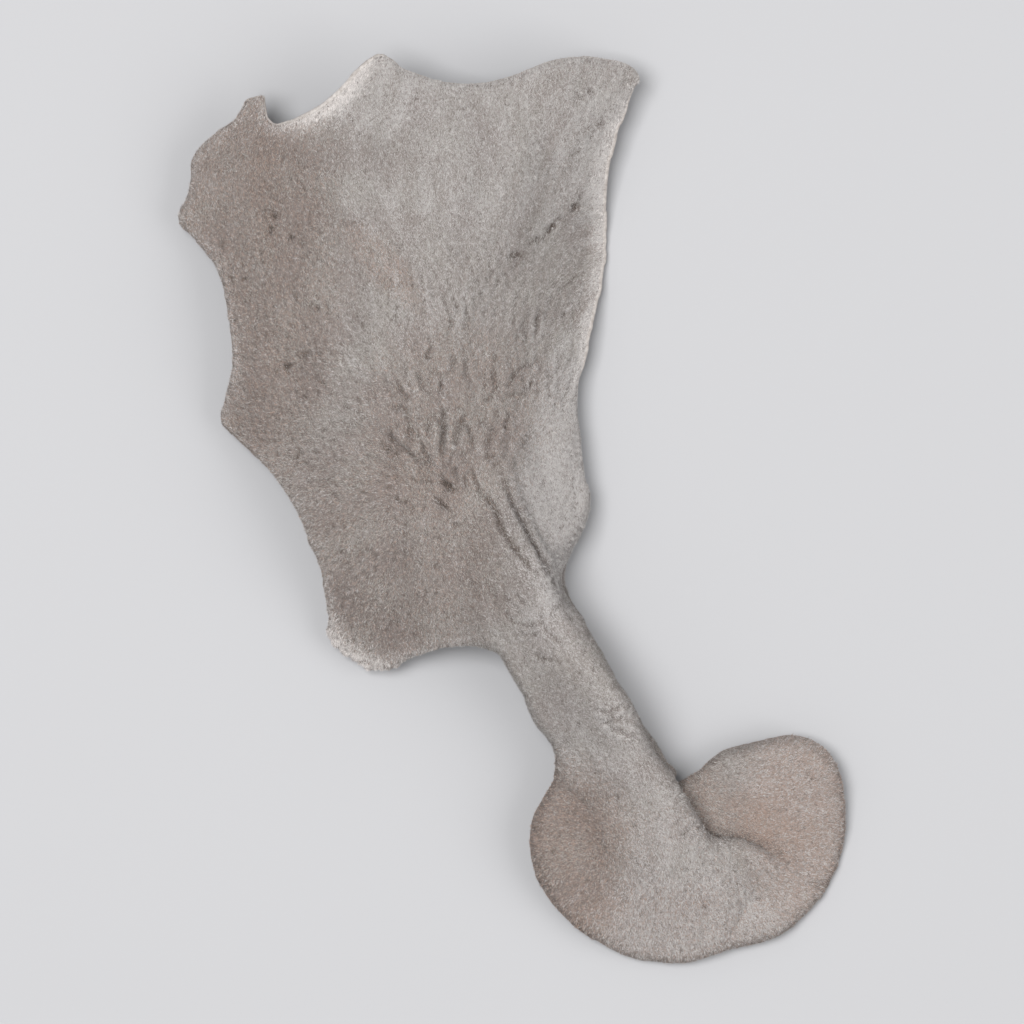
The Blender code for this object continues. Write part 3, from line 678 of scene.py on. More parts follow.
@dataclass
class Margin:
    """The outline, and how the sheet bends over all round it."""

    stretches: tuple[Stretch, ...] = OUTLINE
    thickness: float = 1.2
    rim_share: float = 0.62
    spacing: float = 1.2
    finer: int = 4
    curve_steps: int = 12
    curl_blend: float = 2.2
    direction_blend: float = 1.05
    tilt_blend: float = 1.4
    slope_step: float = 0.3
    steepest: float = math.radians(35)
    hang_height: float = 3.6
    waves: tuple[tuple[float, float, float], ...] = (
        (17, 0.34, 0.6), (29, 0.20, 2.1), (43, 0.10, 4.0))
    fit_rounds: int = 3
    least_width: float = 0.1
    inset: float = 0.2
    ragged: float = 0.1
    ragged_seed: int = 5
    bite_spread: float = 3.0
    nibble_spread: float = 1.2
    nibble_share: float = 0.5
    bite_gain: float = 0.9

    def __post_init__(self) -> None:
        """Draws the outline and reads the curl of each stretch along it."""
        corners, curls = [], []
        for stretch in self.stretches:
            corners += stretch.points
            curl = (stretch.radius, stretch.slope, stretch.lip, stretch.hang)
            curls += [(*curl, stretch.pale, stretch.shade, stretch.ragged)] * len(stretch.points)
        dense = loop_through(corners, self.curve_steps)
        held = np.repeat(np.array(curls, float), self.curve_steps, axis=0)
        self.count = round(loop_lengths(dense)[-1] / self.spacing)
        self.edge, curl = evenly_spaced(dense, held, self.count)
        curl = smoothed_round(curl, self.curl_blend / self.spacing)
        self.radius, slope, self.least_lip, self.hang, self.pale, self.shade, self.rough = curl.T
        self.lip = self.least_lip
        self.end = -np.radians(slope)
        run = np.roll(self.edge, -1, axis=0) - np.roll(self.edge, 1, axis=0)
        run = unit(smoothed_round(run, self.direction_blend / self.spacing))
        # The outline runs clockwise, so outwards is to the left of it.
        self.out = np.column_stack([-run[:, 1], run[:, 0]])
        self.tilt = np.zeros(self.count)
        place = 2 * math.pi * np.arange(self.count) / self.count
        self.wave = sum(high * np.sin(waves * place + phase) for waves, high, phase in self.waves)

    def fit(self, form: "SheetForm") -> None:
        """Finds where the bend starts, so that the bent margin just reaches the outline.

        Args:
            form: the sheet inside the margin.
        """
        steepest = math.tan(self.steepest)
        for _ in range(self.fit_rounds):
            start = self.edge - self.out * self.reach()[:, None]
            level = form.heights(start)
            inner = form.heights(start - self.slope_step * self.out)
            slope = np.clip((level - inner) / self.slope_step, -steepest, steepest)
            self.tilt = smoothed_round(np.arctan(slope), self.tilt_blend / self.spacing)
            drop = self.radius * (np.cos(self.tilt) - np.cos(self.end))
            left = level - drop - self.hang_height
            self.lip = self.least_lip + self.hang * np.maximum(left, 0.0)
        self.refine()

    def reach(self) -> np.ndarray:
        """How far out the bent margin gets from where its bend starts, with its thickness.

        Returns:
            The distance at each station.
        """
        bend = self.radius * np.sign(self.tilt - self.end)
        plain = bend * (np.sin(self.tilt) - np.sin(self.end)) + self.lip * np.cos(self.end)
        plain += 0.5 * self.rim_share * self.thickness * np.abs(np.sin(self.end))
        rolled = self.radius * (np.sin(self.tilt) + 1.0) + 0.5 * self.thickness
        return np.where(self.end > -math.pi / 2, plain, rolled)

    def refine(self) -> None:
        """Puts finer stations between the drawn ones, with a slightly ragged edge."""
        start = self.edge - self.out * self.reach()[:, None]
        columns = (self.radius, self.end, self.tilt, self.lip, self.pale, self.shade, self.rough)
        table = between(np.column_stack([start, self.out, *columns]), self.finer, closed=True)
        self.count *= self.finer
        self.out = unit(table[:, 2:4])
        self.radius, self.end, self.tilt, self.lip, self.pale, self.shade, self.rough = table[:, 4:].T
        rng = np.random.default_rng(self.ragged_seed)
        bite = smoothed_round(rng.normal(size=self.count), self.bite_spread)
        bite += self.nibble_share * smoothed_round(rng.normal(size=self.count), self.nibble_spread)
        bite = smooth_step(0.5 + self.bite_gain * bite / bite.std())
        back = self.inset + self.ragged * self.rough * bite
        self.start = table[:, :2] - self.out * back[:, None]
        self.along = np.column_stack([self.out[:, 1], -self.out[:, 0]])

    def ring(self, share: float, level: np.ndarray, shorter: float) -> "Ring":
        """The margin at one share of its width.

        Args:
            share: from 0 at the start to 1 at the rim.
            level: the height of each station's start.
            shorter: how much shorter than drawn the margin ends, for what the rim adds.

        Returns:
            The ring's points, with what goes with them.
        """
        way = np.sign(self.tilt - self.end)
        arc = self.radius * np.abs(self.tilt - self.end)
        run = share * np.maximum(arc + self.lip - shorter, self.least_width)
        angle = self.tilt - way * np.minimum(run, arc) / self.radius
        beyond = np.maximum(run - arc, 0.0)
        bend = way * self.radius
        outward = bend * (np.sin(self.tilt) - np.sin(angle)) + beyond * np.cos(angle)
        rise = bend * (np.cos(angle) - np.cos(self.tilt)) + beyond * np.sin(angle)
        plan = self.start + self.out * outward[:, None]
        heading = np.column_stack([self.out * np.cos(angle)[:, None], np.sin(angle)])
        return Ring(
            points=np.column_stack([plan, level + rise]),
            cloth=self.start + self.out * run[:, None],
            outward=heading,
            along=np.column_stack([self.along, np.zeros(self.count)]),
            run=run,
        )


@dataclass
class Ring:
    """One ring of the margin: its points, their cloth places, and the sheet's directions there.

    The run is how far along the sheet each point is from the start of the margin.
    """

    points: np.ndarray
    cloth: np.ndarray
    outward: np.ndarray
    along: np.ndarray
    run: np.ndarray


class Fold:
    """A fold of the sheet: it rises gently to a crest, which stands over a steep foot."""

    crevice_at: float = 2.6
    crevice_wide: float = 1.1
    edge_at: float = 0.3
    edge_wide: float = 0.45
    beyond_from: float = 1.0
    beyond_reach: float = 9.0
    beyond_fade: float = 4.0
    steps: int = 4

    def __init__(self, rows: tuple[tuple[float, ...], ...]) -> None:
        """Smooths the crest, whose steep side is to the left of its run.

        Args:
            rows: the crest's stations, as in NECK_FOLD.
        """
        crest = between(np.array(rows, float), self.steps, closed=False)
        run = unit(np.gradient(crest[:, :2], axis=0))
        self.line = np.column_stack([crest, -run[:, 1], run[:, 0]])
        self.section = np.array(FOLD_SECTION).T

    def gap(self, places: np.ndarray) -> np.ndarray:
        """How far each place is from the crest."""
        return np.abs(along_line(places, self.line)[1])

    def lift(self, places: np.ndarray) -> np.ndarray:
        """How far the fold lifts the sheet.

        Args:
            places: places on the flat sheet, one row each.

        Returns:
            The lift at each place.
        """
        carried, offset = along_line(places, self.line)
        past, _, gone = self.section
        gentle = np.exp(-((offset / carried[:, 1]) ** 2))
        return carried[:, 0] * np.where(offset < 0.0, gentle, 1.0 - np.interp(offset, past, gone))

    def lean(self, places: np.ndarray) -> np.ndarray:
        """How far places move over the plan: the crest out, and the foot in under it.

        Args:
            places: places on the flat sheet, one row each.

        Returns:
            The move of each place, one row each.
        """
        carried, offset = along_line(places, self.line)
        past, push, _ = self.section
        return (carried[:, 2] * np.interp(offset, past, push))[:, None] * carried[:, 3:]

    def shades(self, places: np.ndarray) -> tuple[np.ndarray, np.ndarray, np.ndarray]:
        """How the overhanging crest changes the felt, and where shade is painted under it.

        Args:
            places: cloth places, one row each.

        Returns:
            How much each place is in the crevice under the crest, where shade is painted, on the
            crest's edge, and on the sheet beyond the crevice, from 0 to 1.
        """
        carried, offset = along_line(places, self.line)
        crevice = np.exp(-(((offset - self.crevice_at) / self.crevice_wide) ** 2))
        edge = np.exp(-(((offset - self.edge_at) / self.edge_wide) ** 2))
        beyond = smooth_step(offset - self.beyond_from)
        beyond *= smooth_step((self.beyond_reach - offset) / self.beyond_fade)
        return carried[:, 2] * crevice, carried[:, 2] * edge, carried[:, 2] * beyond


@dataclass
class SheetForm:
    """The height of the sheet's middle over the plan, inside the margin."""

    margin: Margin
    places_at_once: int = 8000
    wave_reach: float = 6.0
    wave_blend: float = 1.1
    gather_centre: tuple[float, float] = (-7.0, 3.6)
    gather_heading: float = math.radians(100)
    gather_dimple: float = 0.9
    gather_dimple_width: float = 3.2
    gather_reach: float = 17.0
    gather_rise: float = 3.0
    gather_fade: float = 9.0
    gather_wrinkles: int = 13
    gather_height: float = 0.22
    gather_sway: float = 0.25
    gather_sway_length: float = 4.0
    fan_edge: float = math.cos(math.radians(81))
    fan_full: float = math.cos(math.radians(41))

    def __post_init__(self) -> None:
        """Fits the plate to the spot heights and makes the folds."""
        self.plate = ThinPlate(SPOT_HEIGHTS)
        self.folds = (Fold(NECK_FOLD), Fold(NECK_SHOULDER))
        self.edge = self.margin.edge.copy()
        self.wave = self.margin.wave.copy()

    def heights(self, places: np.ndarray) -> np.ndarray:
        """The sheet's height.

        Args:
            places: places on the plan, one row each.

        Returns:
            The height at each place.
        """
        height = self.plate.heights(places) + self.gathering(places)
        height += sum(fold.lift(places) for fold in self.folds)
        for first in range(0, len(places), self.places_at_once):
            part = slice(first, first + self.places_at_once)
            gaps = np.linalg.norm(places[part, None, :] - self.edge[None, :, :], axis=2)
            depth = gaps.min(axis=1)
            weight = np.exp((depth[:, None] - gaps) / self.wave_blend)
            wave = (weight @ self.wave) / weight.sum(axis=1)
            height[part] += wave * np.exp(-depth / self.wave_reach)
        return height

    def lean(self, places: np.ndarray) -> np.ndarray:
        """How far the folds move each place over the plan."""
        return sum(fold.lean(places) for fold in self.folds)

    def gathering(self, places: np.ndarray) -> np.ndarray:
        """The dimple where the neck starts and the wrinkles that fan out above it.

        Args:
            places: places on the plan, one row each.

        Returns:
            The height that they add at each place.
        """
        away = places - np.array(self.gather_centre)
        reach = np.linalg.norm(away, axis=1)
        angle = np.arctan2(away[:, 1], away[:, 0])
        swayed = angle + self.gather_sway * np.sin(reach / self.gather_sway_length)
        opening = np.cos(angle - self.gather_heading) - self.fan_edge
        fan = smooth_step(opening / (self.fan_full - self.fan_edge))
        fade = smooth_step((self.gather_reach - reach) / self.gather_fade)
        size = self.gather_height * fan * fade * smooth_step(reach / self.gather_rise)
        dimple = self.gather_dimple * np.exp(-((reach / self.gather_dimple_width) ** 2))
        return size * np.sin(self.gather_wrinkles * swayed) - dimple


@dataclass(frozen=True)
class Fibres:
    """The heading of the felt's fibres over the flattened sheet."""

    spots: tuple[tuple[float, float, float], ...] = FIBRE_HEADINGS
    reach: float = 4.5
    far_weight: float = 1e-6

    def headings(self, places: np.ndarray) -> np.ndarray:
        """The heading of the fibres, in radians.

        Args:
            places: cloth places, one row each.

        Returns:
            The heading at each place.
        """
        table = np.array(self.spots, float)
        squares = ((places[:, None, :] - table[None, :, :2]) ** 2).sum(axis=2)
        weight = np.exp(-squares / (2 * self.reach**2)) + self.far_weight / (1.0 + squares)
        twice = 2.0 * np.radians(table[:, 2])
        return 0.5 * np.arctan2(weight @ np.sin(twice), weight @ np.cos(twice))


class Cells:
    """Places sorted into square cells, to find those near a point."""

    def __init__(self, places: np.ndarray, size: float) -> None:
        """Sorts the places.

        Args:
            places: the places, one row each.
            size: the length of a cell's side.
        """
        self.size = size
        keys = np.floor(places / size).astype(int)
        order = np.lexsort((keys[:, 1], keys[:, 0]))
        sorted_keys = keys[order]
        new = np.any(np.diff(sorted_keys, axis=0) != 0, axis=1)
        firsts = np.concatenate([[0], np.nonzero(new)[0] + 1])
        groups = np.split(order, firsts[1:])
        self.groups = {tuple(sorted_keys[f]): group for f, group in zip(firsts, groups)}

    def near(self, centre: np.ndarray) -> np.ndarray:
        """The places in the cell of a point and in the eight around it.

        Args:
            centre: the point.

        Returns:
            The places' indices.
        """
        column, row = np.floor(centre / self.size).astype(int)
        keys = ((column + i, row + j) for i in (-1, 0, 1) for j in (-1, 0, 1))
        found = [self.groups[key] for key in keys if key in self.groups]
        return np.concatenate(found) if found else np.zeros(0, int)


@dataclass(frozen=True)
class Wrinkles:
    """Worm-like wrinkles: many short packets of waves, each turned to the fibres' heading."""

    spacing: float
    length: float
    wander: float
    per_mm2: float
    seed: int
    across: float = 0.85
    packet_reach: ClassVar[float] = 2.2

    def pattern(self, places: np.ndarray, fibres: Fibres) -> np.ndarray:
        """The wrinkles' wave at each place.

        Args:
            places: cloth places, one row each.
            fibres: the heading of the fibres.

        Returns:
            A wave whose height is about 1 from its mean.
        """
        rng = np.random.default_rng(self.seed)
        low, high = places.min(axis=0), places.max(axis=0)
        centres = rng.uniform(low, high, (int(np.prod(high - low) * self.per_mm2), 2))
        turns = fibres.headings(centres) + rng.normal(0.0, self.wander, len(centres))
        phases = rng.uniform(0.0, 2 * math.pi, len(centres))
        wide = self.across * self.spacing
        cells = Cells(places, self.packet_reach * max(self.length, wide))
        total = np.zeros(len(places))
        for centre, turn, phase in zip(centres, turns, phases):
            near = cells.near(centre)
            along, beside = along_and_beside(places[near] - centre, turn)
            bell = np.exp(-((along / self.length) ** 2) - (beside / wide) ** 2)
            total[near] += bell * np.cos(2 * math.pi * beside / self.spacing + phase)
        return total / total.std()


@dataclass(frozen=True)
class Pit:
    """A small dark pit in the felt."""

    x: float
    y: float
    length: float
    width: float
    heading: float
    depth: float
    reach: ClassVar[float] = 3.0

    def share(self, places: np.ndarray) -> np.ndarray:
        """How deep in the pit places are, from 0 to 1.

        Args:
            places: cloth places, one row each.

        Returns:
            One share for each place.
        """
        shares = np.zeros(len(places))
        away = places - (self.x, self.y)
        near = np.abs(away).max(axis=1) < self.reach * max(self.length, self.width)
        along, beside = along_and_beside(away[near], math.radians(self.heading))
        shares[near] = np.exp(-((along / self.length) ** 2) - (beside / self.width) ** 2)
        return shares


@dataclass
class FeltRelief:
    """What stands out of the felt and what is sunk into it, and where the felt is darkened, with
    painted shade in its furrows and painted highlights on its ridges.
    """

    fibres: Fibres = field(default_factory=Fibres)
    gathered: Wrinkles = Wrinkles(1.4, 2.1, 0.5, 0.55, seed=11, across=0.95)
    bunches: Wrinkles = Wrinkles(4.5, 2.2, 1.3, 0.2, seed=17)
    fanned: Wrinkles = Wrinkles(1.0, 1.6, 0.4, 0.9, seed=12, across=1.1)
    lumps: Wrinkles = Wrinkles(1.0, 0.75, 1.3, 1.2, seed=13)
    cockles: Wrinkles = Wrinkles(6.5, 5.0, 0.5, 0.1, seed=14)
    gathered_zone: Oval = Oval(-7.2, 9.3, 8.6, 8.6)
    fanned_zones: tuple[Oval, ...] = (
        Oval(4.0, 19.0, 6.5, 10.0), Oval(3.0, -10.0, 5.0, 8.0, 32.0), Oval(-8.0, 22.0, 10.0, 9.0))
    grained_zones: tuple[Oval, ...] = (
        Oval(-24.0, 14.0, 10.0, 22.0), Oval(-13.0, -6.0, 10.0, 12.0))
    gathered_height: float = 0.17
    fanned_height: float = 0.06
    lump_height: float = 0.06
    cockle_height: float = 0.1
    bunch_middle: float = 0.55
    bunch_gain: float = 0.45
    gathered_least: float = 0.25
    fanned_least: float = 0.3
    fanned_yield: float = 0.8
    lump_least: float = 0.4
    lump_more: float = 0.7
    rim_width: float = 1.5
    rim_least: float = 0.4
    crest_gain: float = 1.2
    crest_rise: float = 0.15
    shade_gain: float = 0.6
    shade_from: float = 0.1
    groove_painted_shade: float = 0.65
    groove_painted_shade_power: float = 0.5
    groove_painted_highlight: float = 1.6
    pit_dark: float = 2.6
    pit_dark_power: float = 0.6
    gathered_shade_and_highlight: float = 0.48
    fanned_shade_and_highlight: float = 0.36
    lump_shade_and_highlight: float = 0.4
    specks: int = 1100
    speck_seed: int = 15
    speck_length: tuple[float, float] = (0.2, 0.4)
    speck_width: float = 0.2
    speck_heading: tuple[float, float] = (90.0, 40.0)
    speck_depth: tuple[float, float] = (0.01, 0.08)
    pits: tuple[Pit, ...] = (
        Pit(-6.6, 2.8, 0.85, 0.36, -42, 0.42), Pit(-7.3, 0.8, 0.9, 0.3, -38, 0.34),
        Pit(0.3, 27.1, 0.7, 0.34, 8, 0.3), Pit(-23.5, 15.4, 0.42, 0.36, 40, 0.34),
        Pit(-21.6, 16.6, 0.46, 0.28, 30, 0.28), Pit(-20.0, 16.7, 0.38, 0.24, 0, 0.22),
        Pit(-23.5, 18.6, 0.3, 0.26, 90, 0.18), Pit(-20.3, 21.4, 0.3, 0.26, 60, 0.16),
        Pit(-22.3, 22.5, 0.3, 0.24, 90, 0.16), Pit(-21.7, 19.6, 0.28, 0.24, 30, 0.14),
        Pit(-21.7, 12.2, 0.3, 0.26, 0, 0.16), Pit(-29.2, 20.4, 0.3, 0.26, 60, 0.16),
        Pit(-30.0, 22.4, 0.28, 0.24, 0, 0.14), Pit(-25.3, 29.8, 0.46, 0.32, 80, 0.28),
        Pit(-23.1, 28.9, 0.4, 0.32, 60, 0.28), Pit(-24.9, 31.3, 0.34, 0.28, 60, 0.18),
        Pit(-21.9, 28.4, 0.32, 0.24, 0, 0.15), Pit(-25.9, 31.9, 0.26, 0.22, 0, 0.13),
        Pit(-28.2, 24.8, 0.3, 0.24, 0, 0.15), Pit(-27.6, 22.4, 0.28, 0.24, 90, 0.15),
        Pit(-26.6, 12.6, 0.28, 0.22, 0, 0.15), Pit(-3.4, 23.0, 0.32, 0.26, 70, 0.15),
        Pit(8.2, 44.6, 0.5, 0.2, 0, 0.14), Pit(7.2, 44.0, 0.4, 0.18, 0, 0.12),
        Pit(9.5, 41.6, 0.6, 0.22, 88, 0.1), Pit(6.5, 32.6, 0.3, 0.26, 0, 0.16),
        Pit(5.0, 31.3, 0.5, 0.18, 5, 0.14), Pit(-22.6, 5.8, 0.32, 0.26, 40, 0.17),
        Pit(-21.2, 3.4, 0.28, 0.24, 0, 0.15))
    crack: tuple[tuple[float, float], ...] = ((0.8, 27.6), (3.6, 29.8), (5.6, 31.6), (7.4, 33.9))
    crack_steps: int = 12
    crack_dots: int = 16
    crack_seed: int = 8
    crack_stray: float = 0.2
    crack_width: tuple[float, float] = (0.16, 0.3)
    crack_length: tuple[float, float] = (1.0, 2.0)
    crack_heading: tuple[float, float] = (10, 70)
    crack_depth: float = 0.6
    crimps_per_knot: int = 2
    crimp_reach: tuple[float, float] = (-1.2, 1.5)
    crimp_depth: float = 0.12
    crimp_width: float = 0.18

    def relief(self, cloth: np.ndarray, depth: np.ndarray) -> tuple[np.ndarray, np.ndarray, np.ndarray]:
        """The felt's fine relief.

        Args:
            cloth: cloth places, one row each.
            depth: how far in from the rim each place is.

        Returns:
            How far each place stands out, how dark it is, with painted shade in the furrows, and how
            much painted highlight is on the ridges.
        """
        bunched = self.bunches.pattern(cloth, self.fibres)
        bunched = smooth_step(self.bunch_middle + self.bunch_gain * bunched)
        gathered_share = self.gathered_least + (1.0 - self.gathered_least) * bunched
        gathered_share *= self.gathered_zone.share(cloth)
        fanned_share = np.maximum(covered(self.fanned_zones, cloth), self.fanned_least)
        fanned_share *= 1.0 - self.fanned_yield * gathered_share
        lump_share = self.lump_least + self.lump_more * covered(self.grained_zones, cloth)
        inner = smooth_step(depth / self.rim_width)
        flatter = self.rim_least + (1.0 - self.rim_least) * inner
        out = self.cockle_height * self.cockles.pattern(cloth, self.fibres) * inner
        dark, light = np.zeros(len(cloth)), np.zeros(len(cloth))
        for wrinkles, height, shade, share in (
            (self.gathered, self.gathered_height, self.gathered_shade_and_highlight, gathered_share),
            (self.fanned, self.fanned_height, self.fanned_shade_and_highlight, fanned_share),
            (self.lumps, self.lump_height, self.lump_shade_and_highlight, lump_share),
        ):
            wave = wrinkles.pattern(cloth, self.fibres)
            out += height * share * flatter * np.tanh(self.crest_gain * wave + self.crest_rise)
            # Painted shade in the furrows of the wrinkles and painted highlight on their ridges
            dark += shade * share * smooth_step(-self.shade_from - self.shade_gain * wave)
            light += shade * share * smooth_step(self.shade_gain * wave - self.shade_from)
        for groove in [*GROOVES, *self.crimps()]:
            shape, share = groove.relief(cloth)
            out += shape
            # Painted shade in each groove and painted highlight on the ridges beside it
            dark += self.groove_painted_shade * (groove.depth / Groove.depth) ** self.groove_painted_shade_power * share
            light += self.groove_painted_highlight * np.maximum(shape, 0.0) / groove.depth
        for pit in [*self.pits, *self.crack_pits(), *self.scattered_pits(cloth)]:
            share = pit.share(cloth)
            out -= pit.depth * share
            dark += self.pit_dark * pit.depth**self.pit_dark_power * share
        return out, np.clip(dark, 0.0, 1.0), light

    def crimps(self) -> list[Groove]:
        """The short grooves that run in from the rim of the lower lobe.

        Returns:
            The grooves.
        """
        rim = next(stretch.points for stretch in OUTLINE if stretch.name == "lower lobe")
        line = between(np.array(rim, float), self.crimps_per_knot, closed=False)
        run = unit(np.gradient(line, axis=0))
        inward = np.column_stack([run[:, 1], -run[:, 0]])
        first, last = self.crimp_reach
        return [
            Groove((tuple(place + first * way), tuple(place + last * way)), self.crimp_depth,
                   self.crimp_width)
            for place, way in zip(line, inward)
        ]

    def crack_pits(self) -> list[Pit]:
        """The dotted crack, as a string of small pits.

        Returns:
            The pits.
        """
        line = between(np.array(self.crack, float), self.crack_steps, closed=False)
        rng = np.random.default_rng(self.crack_seed)
        dots = []
        for place in np.sort(rng.uniform(size=self.crack_dots)):
            x, y = line[round(place * (len(line) - 1))] + rng.normal(0, self.crack_stray, 2)
            width = rng.uniform(*self.crack_width)
            length = rng.uniform(*self.crack_length) * width
            heading = rng.uniform(*self.crack_heading)
            dots.append(Pit(x, y, length, width, heading, self.crack_depth * width))
        return dots

    def scattered_pits(self, cloth: np.ndarray) -> list[Pit]:
        """Faint specks all over the felt.

        Args:
            cloth: cloth places all over the felt, one row each.

        Returns:
            The specks, as small pits.
        """
        rng = np.random.default_rng(self.speck_seed)
        low, high = cloth.min(axis=0), cloth.max(axis=0)
        places = rng.uniform(low, high, (self.specks, 2))
        lengths = rng.uniform(*self.speck_length, self.specks)
        headings = rng.normal(*self.speck_heading, self.specks)
        least, more = self.speck_depth
        depths = least + more * rng.uniform(size=self.specks) ** 2
        return [
            Pit(x, y, length, self.speck_width, heading, depth)
            for (x, y), length, heading, depth in zip(places, lengths, headings, depths)
        ]


@dataclass
class Sheet:
    """One side of the skin: a fine mesh of the sheet with its margin.

    With each point go its cloth place, two directions of the sheet in space (outwards and along in
    the margin, +X and +Y inside it), the nearest station of the margin, how far in from the rim it
    is, and the share of the thickness there. The last ring is the indices of the rim's points.
    """

    points: np.ndarray
    triangles: np.ndarray
    cloth: np.ndarray
    outward: np.ndarray
    along: np.ndarray
    station: np.ndarray
    depth: np.ndarray
    taper: np.ndarray
    last_ring: np.ndarray


@dataclass
class Skin:
    """The whole mushroom as one closed skin: felt above, smooth below, and a rounded rim."""

    margin: Margin = field(default_factory=Margin)
    felt: FeltRelief = field(default_factory=FeltRelief)
    nap_room: float = 0.16
    rim_bulge: float = 0.26
    fine_spacing: float = 0.2
    felt_spacing: float = 0.27
    smooth_spacing: float = 0.66
    smooth_fine: float = 0.42
    felt_rings: int = 11
    smooth_rings: int = 6
    rim_steps: int = 6
    taper_power: int = 3
    fine_zones: tuple[Oval, ...] = (
        Oval(-4.0, 8.0, 9.0, 12.0, 10.0), Oval(18.5, -32.5, 3.5, 8.0, 28.0))
    crevice_painted_shade: float = 0.6
    edge_dark: float = 0.22
    beyond_pale: float = -0.8
    beyond_tan: float = 0.4
    ridge_painted_highlight: float = 0.3
    streaks: Wrinkles = Wrinkles(2.6, 5.0, 0.25, 0.16, seed=16)
    streak_pale: float = 0.1
    veins: Wrinkles = Wrinkles(3.4, 3.2, 0.9, 0.25, seed=21)
    vein_height: float = 0.09
    least_gap: float = 0.45
    rim_fade: float = 1.2
    white_fade: float = 1.6
    least_bare: float = 0.05
    bare_power: int = 3
    relax_rounds: int = 6
    felt_pull: float = 0.5
    smooth_pull: float = 0.6
    fold_reach: float = 5.0
    fold_blend: float = 3.0
    vein_fade: float = 2.5
    probe_depth: float = 4.0
    probe_level: float = 0.9
    probe_every: int = 97
    probe_height: float = 100.0
    rim_rows: int = 3
    rim_row_height: float = 2.2
    map_gap: float = 1.2

    def build(self) -> bpy.types.Object:
        """Makes the skin.

        Returns:
            The skin as one object, laid in the frame.
        """
        self.form = SheetForm(self.margin)
        self.margin.fit(self.form)
        upper = self.sheet(self.filling(self.felt_spacing, self.fine_spacing), self.felt_rings)
        lower = self.sheet(self.filling(self.smooth_spacing, self.smooth_fine), self.smooth_rings)
        lift = self.drop_to_frame(upper)
        log.info("the drawn sheet goes up by %.2f mm to lie in the frame", lift)
        shift = np.array([*self.plan_shift(), lift])
        self.raise_felt(upper)
        self.sink_smooth(lower)
        return self.join(upper, lower, shift)

    def filling(self, plain: float, fine: float) -> np.ndarray:
        """Lattice points that fill the plan, clear of the start of the margin.

        Args:
            plain: the lattice's spacing.
            fine: its spacing where the sheet is wrinkled and folded.

        Returns:
            The points, one row each.
        """
        start = self.margin.start
        kept = []
        for spacing, zoned in ((plain, False), (fine, True)):
            points = lattice(start.min(axis=0), start.max(axis=0), spacing)
            points = points[(covered(self.fine_zones, points) > 0.0) == zoned]
            points = points[inside(points, start)]
            gaps, _ = self.nearest_start(points)
            kept.append(points[gaps > self.least_gap * spacing])
        return np.vstack(kept)

    def sheet(self, filling: np.ndarray, rings: int) -> Sheet:
        """The sheet's middle as a mesh.

        Args:
            filling: points inside the margin.
            rings: how many rings the margin gets.

        Returns:
            The mesh, with what goes with its points.
        """
        margin = self.margin
        count = margin.count
        plan = np.vstack([margin.start, filling])
        edges = [(k, (k + 1) % count) for k in range(count)]
        made, _, faces, sources, _, _ = delaunay_2d_cdt(
            [Vector(p) for p in plan], edges, [list(range(count))[::-1]], CDT_INSIDE, CDT_NEAR
        )
        place_of = {source: k for k, found in enumerate(sources) for source in found}
        ring = np.array([place_of[k] for k in range(count)])
        places = np.array(made)
        heights, lean = self.form.heights(places), self.form.lean(places)
        level = heights[ring]
        sideways = np.column_stack([lean[ring], np.zeros(count)])
        width = margin.ring(1.0, level, self.rim_bulge).run
        gaps, stations = self.nearest_start(places)
        flat = np.zeros((len(places), 3))
        columns = [[
            np.column_stack([places + lean, heights]), places, flat + (1.0, 0.0, 0.0),
            flat + (0.0, 1.0, 0.0), stations, gaps + width[stations], np.ones(len(places)),
        ]]
        triangles = [np.array(faces)]
        total = len(places)
        for step in range(1, rings + 1):
            share = step / rings
            made_ring = margin.ring(share, level, self.rim_bulge)
            columns.append([
                made_ring.points + sideways, made_ring.cloth, made_ring.outward, made_ring.along,
                np.arange(count), width - made_ring.run,
                np.full(count, 1.0 - (1.0 - margin.rim_share) * share**self.taper_power),
            ])
            after = np.arange(total, total + count)
            triangles += strip(ring, after)
            ring = after
            total += count
        points, cloth, outward, along, station, depth, taper = map(np.concatenate, zip(*columns))
        triangles = np.vstack(triangles)
        return Sheet(points, triangles, cloth, outward, along, station, depth, taper, ring)

    def nearest_start(self, places: np.ndarray) -> tuple[np.ndarray, np.ndarray]:
        """How far places are from the start of the margin.

        Args:
            places: places on the plan, one row each.

        Returns:
            The distance of each place, and the station that it is nearest to.
        """
        start = self.margin.start
        tree = KDTree(len(start))
        for k, (x, y) in enumerate(start):
            tree.insert((x, y, 0.0), k)
        tree.balance()
        found = [tree.find((x, y, 0.0)) for x, y in places]
        return np.array([hit[2] for hit in found]), np.array([hit[1] for hit in found])

    def plan_shift(self) -> np.ndarray:
        """From the drawing's origin to the frame's, over the plan: the outlines' middles meet.

        Returns:
            The shift along x and y, in millimetres.
        """
        edge = self.form.edge
        middle = (edge.min(axis=0) + edge.max(axis=0)) / 2
        low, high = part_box(NODE)
        return np.array([(low.x + high.x) / 2, (low.y + high.y) / 2]) / MM - middle

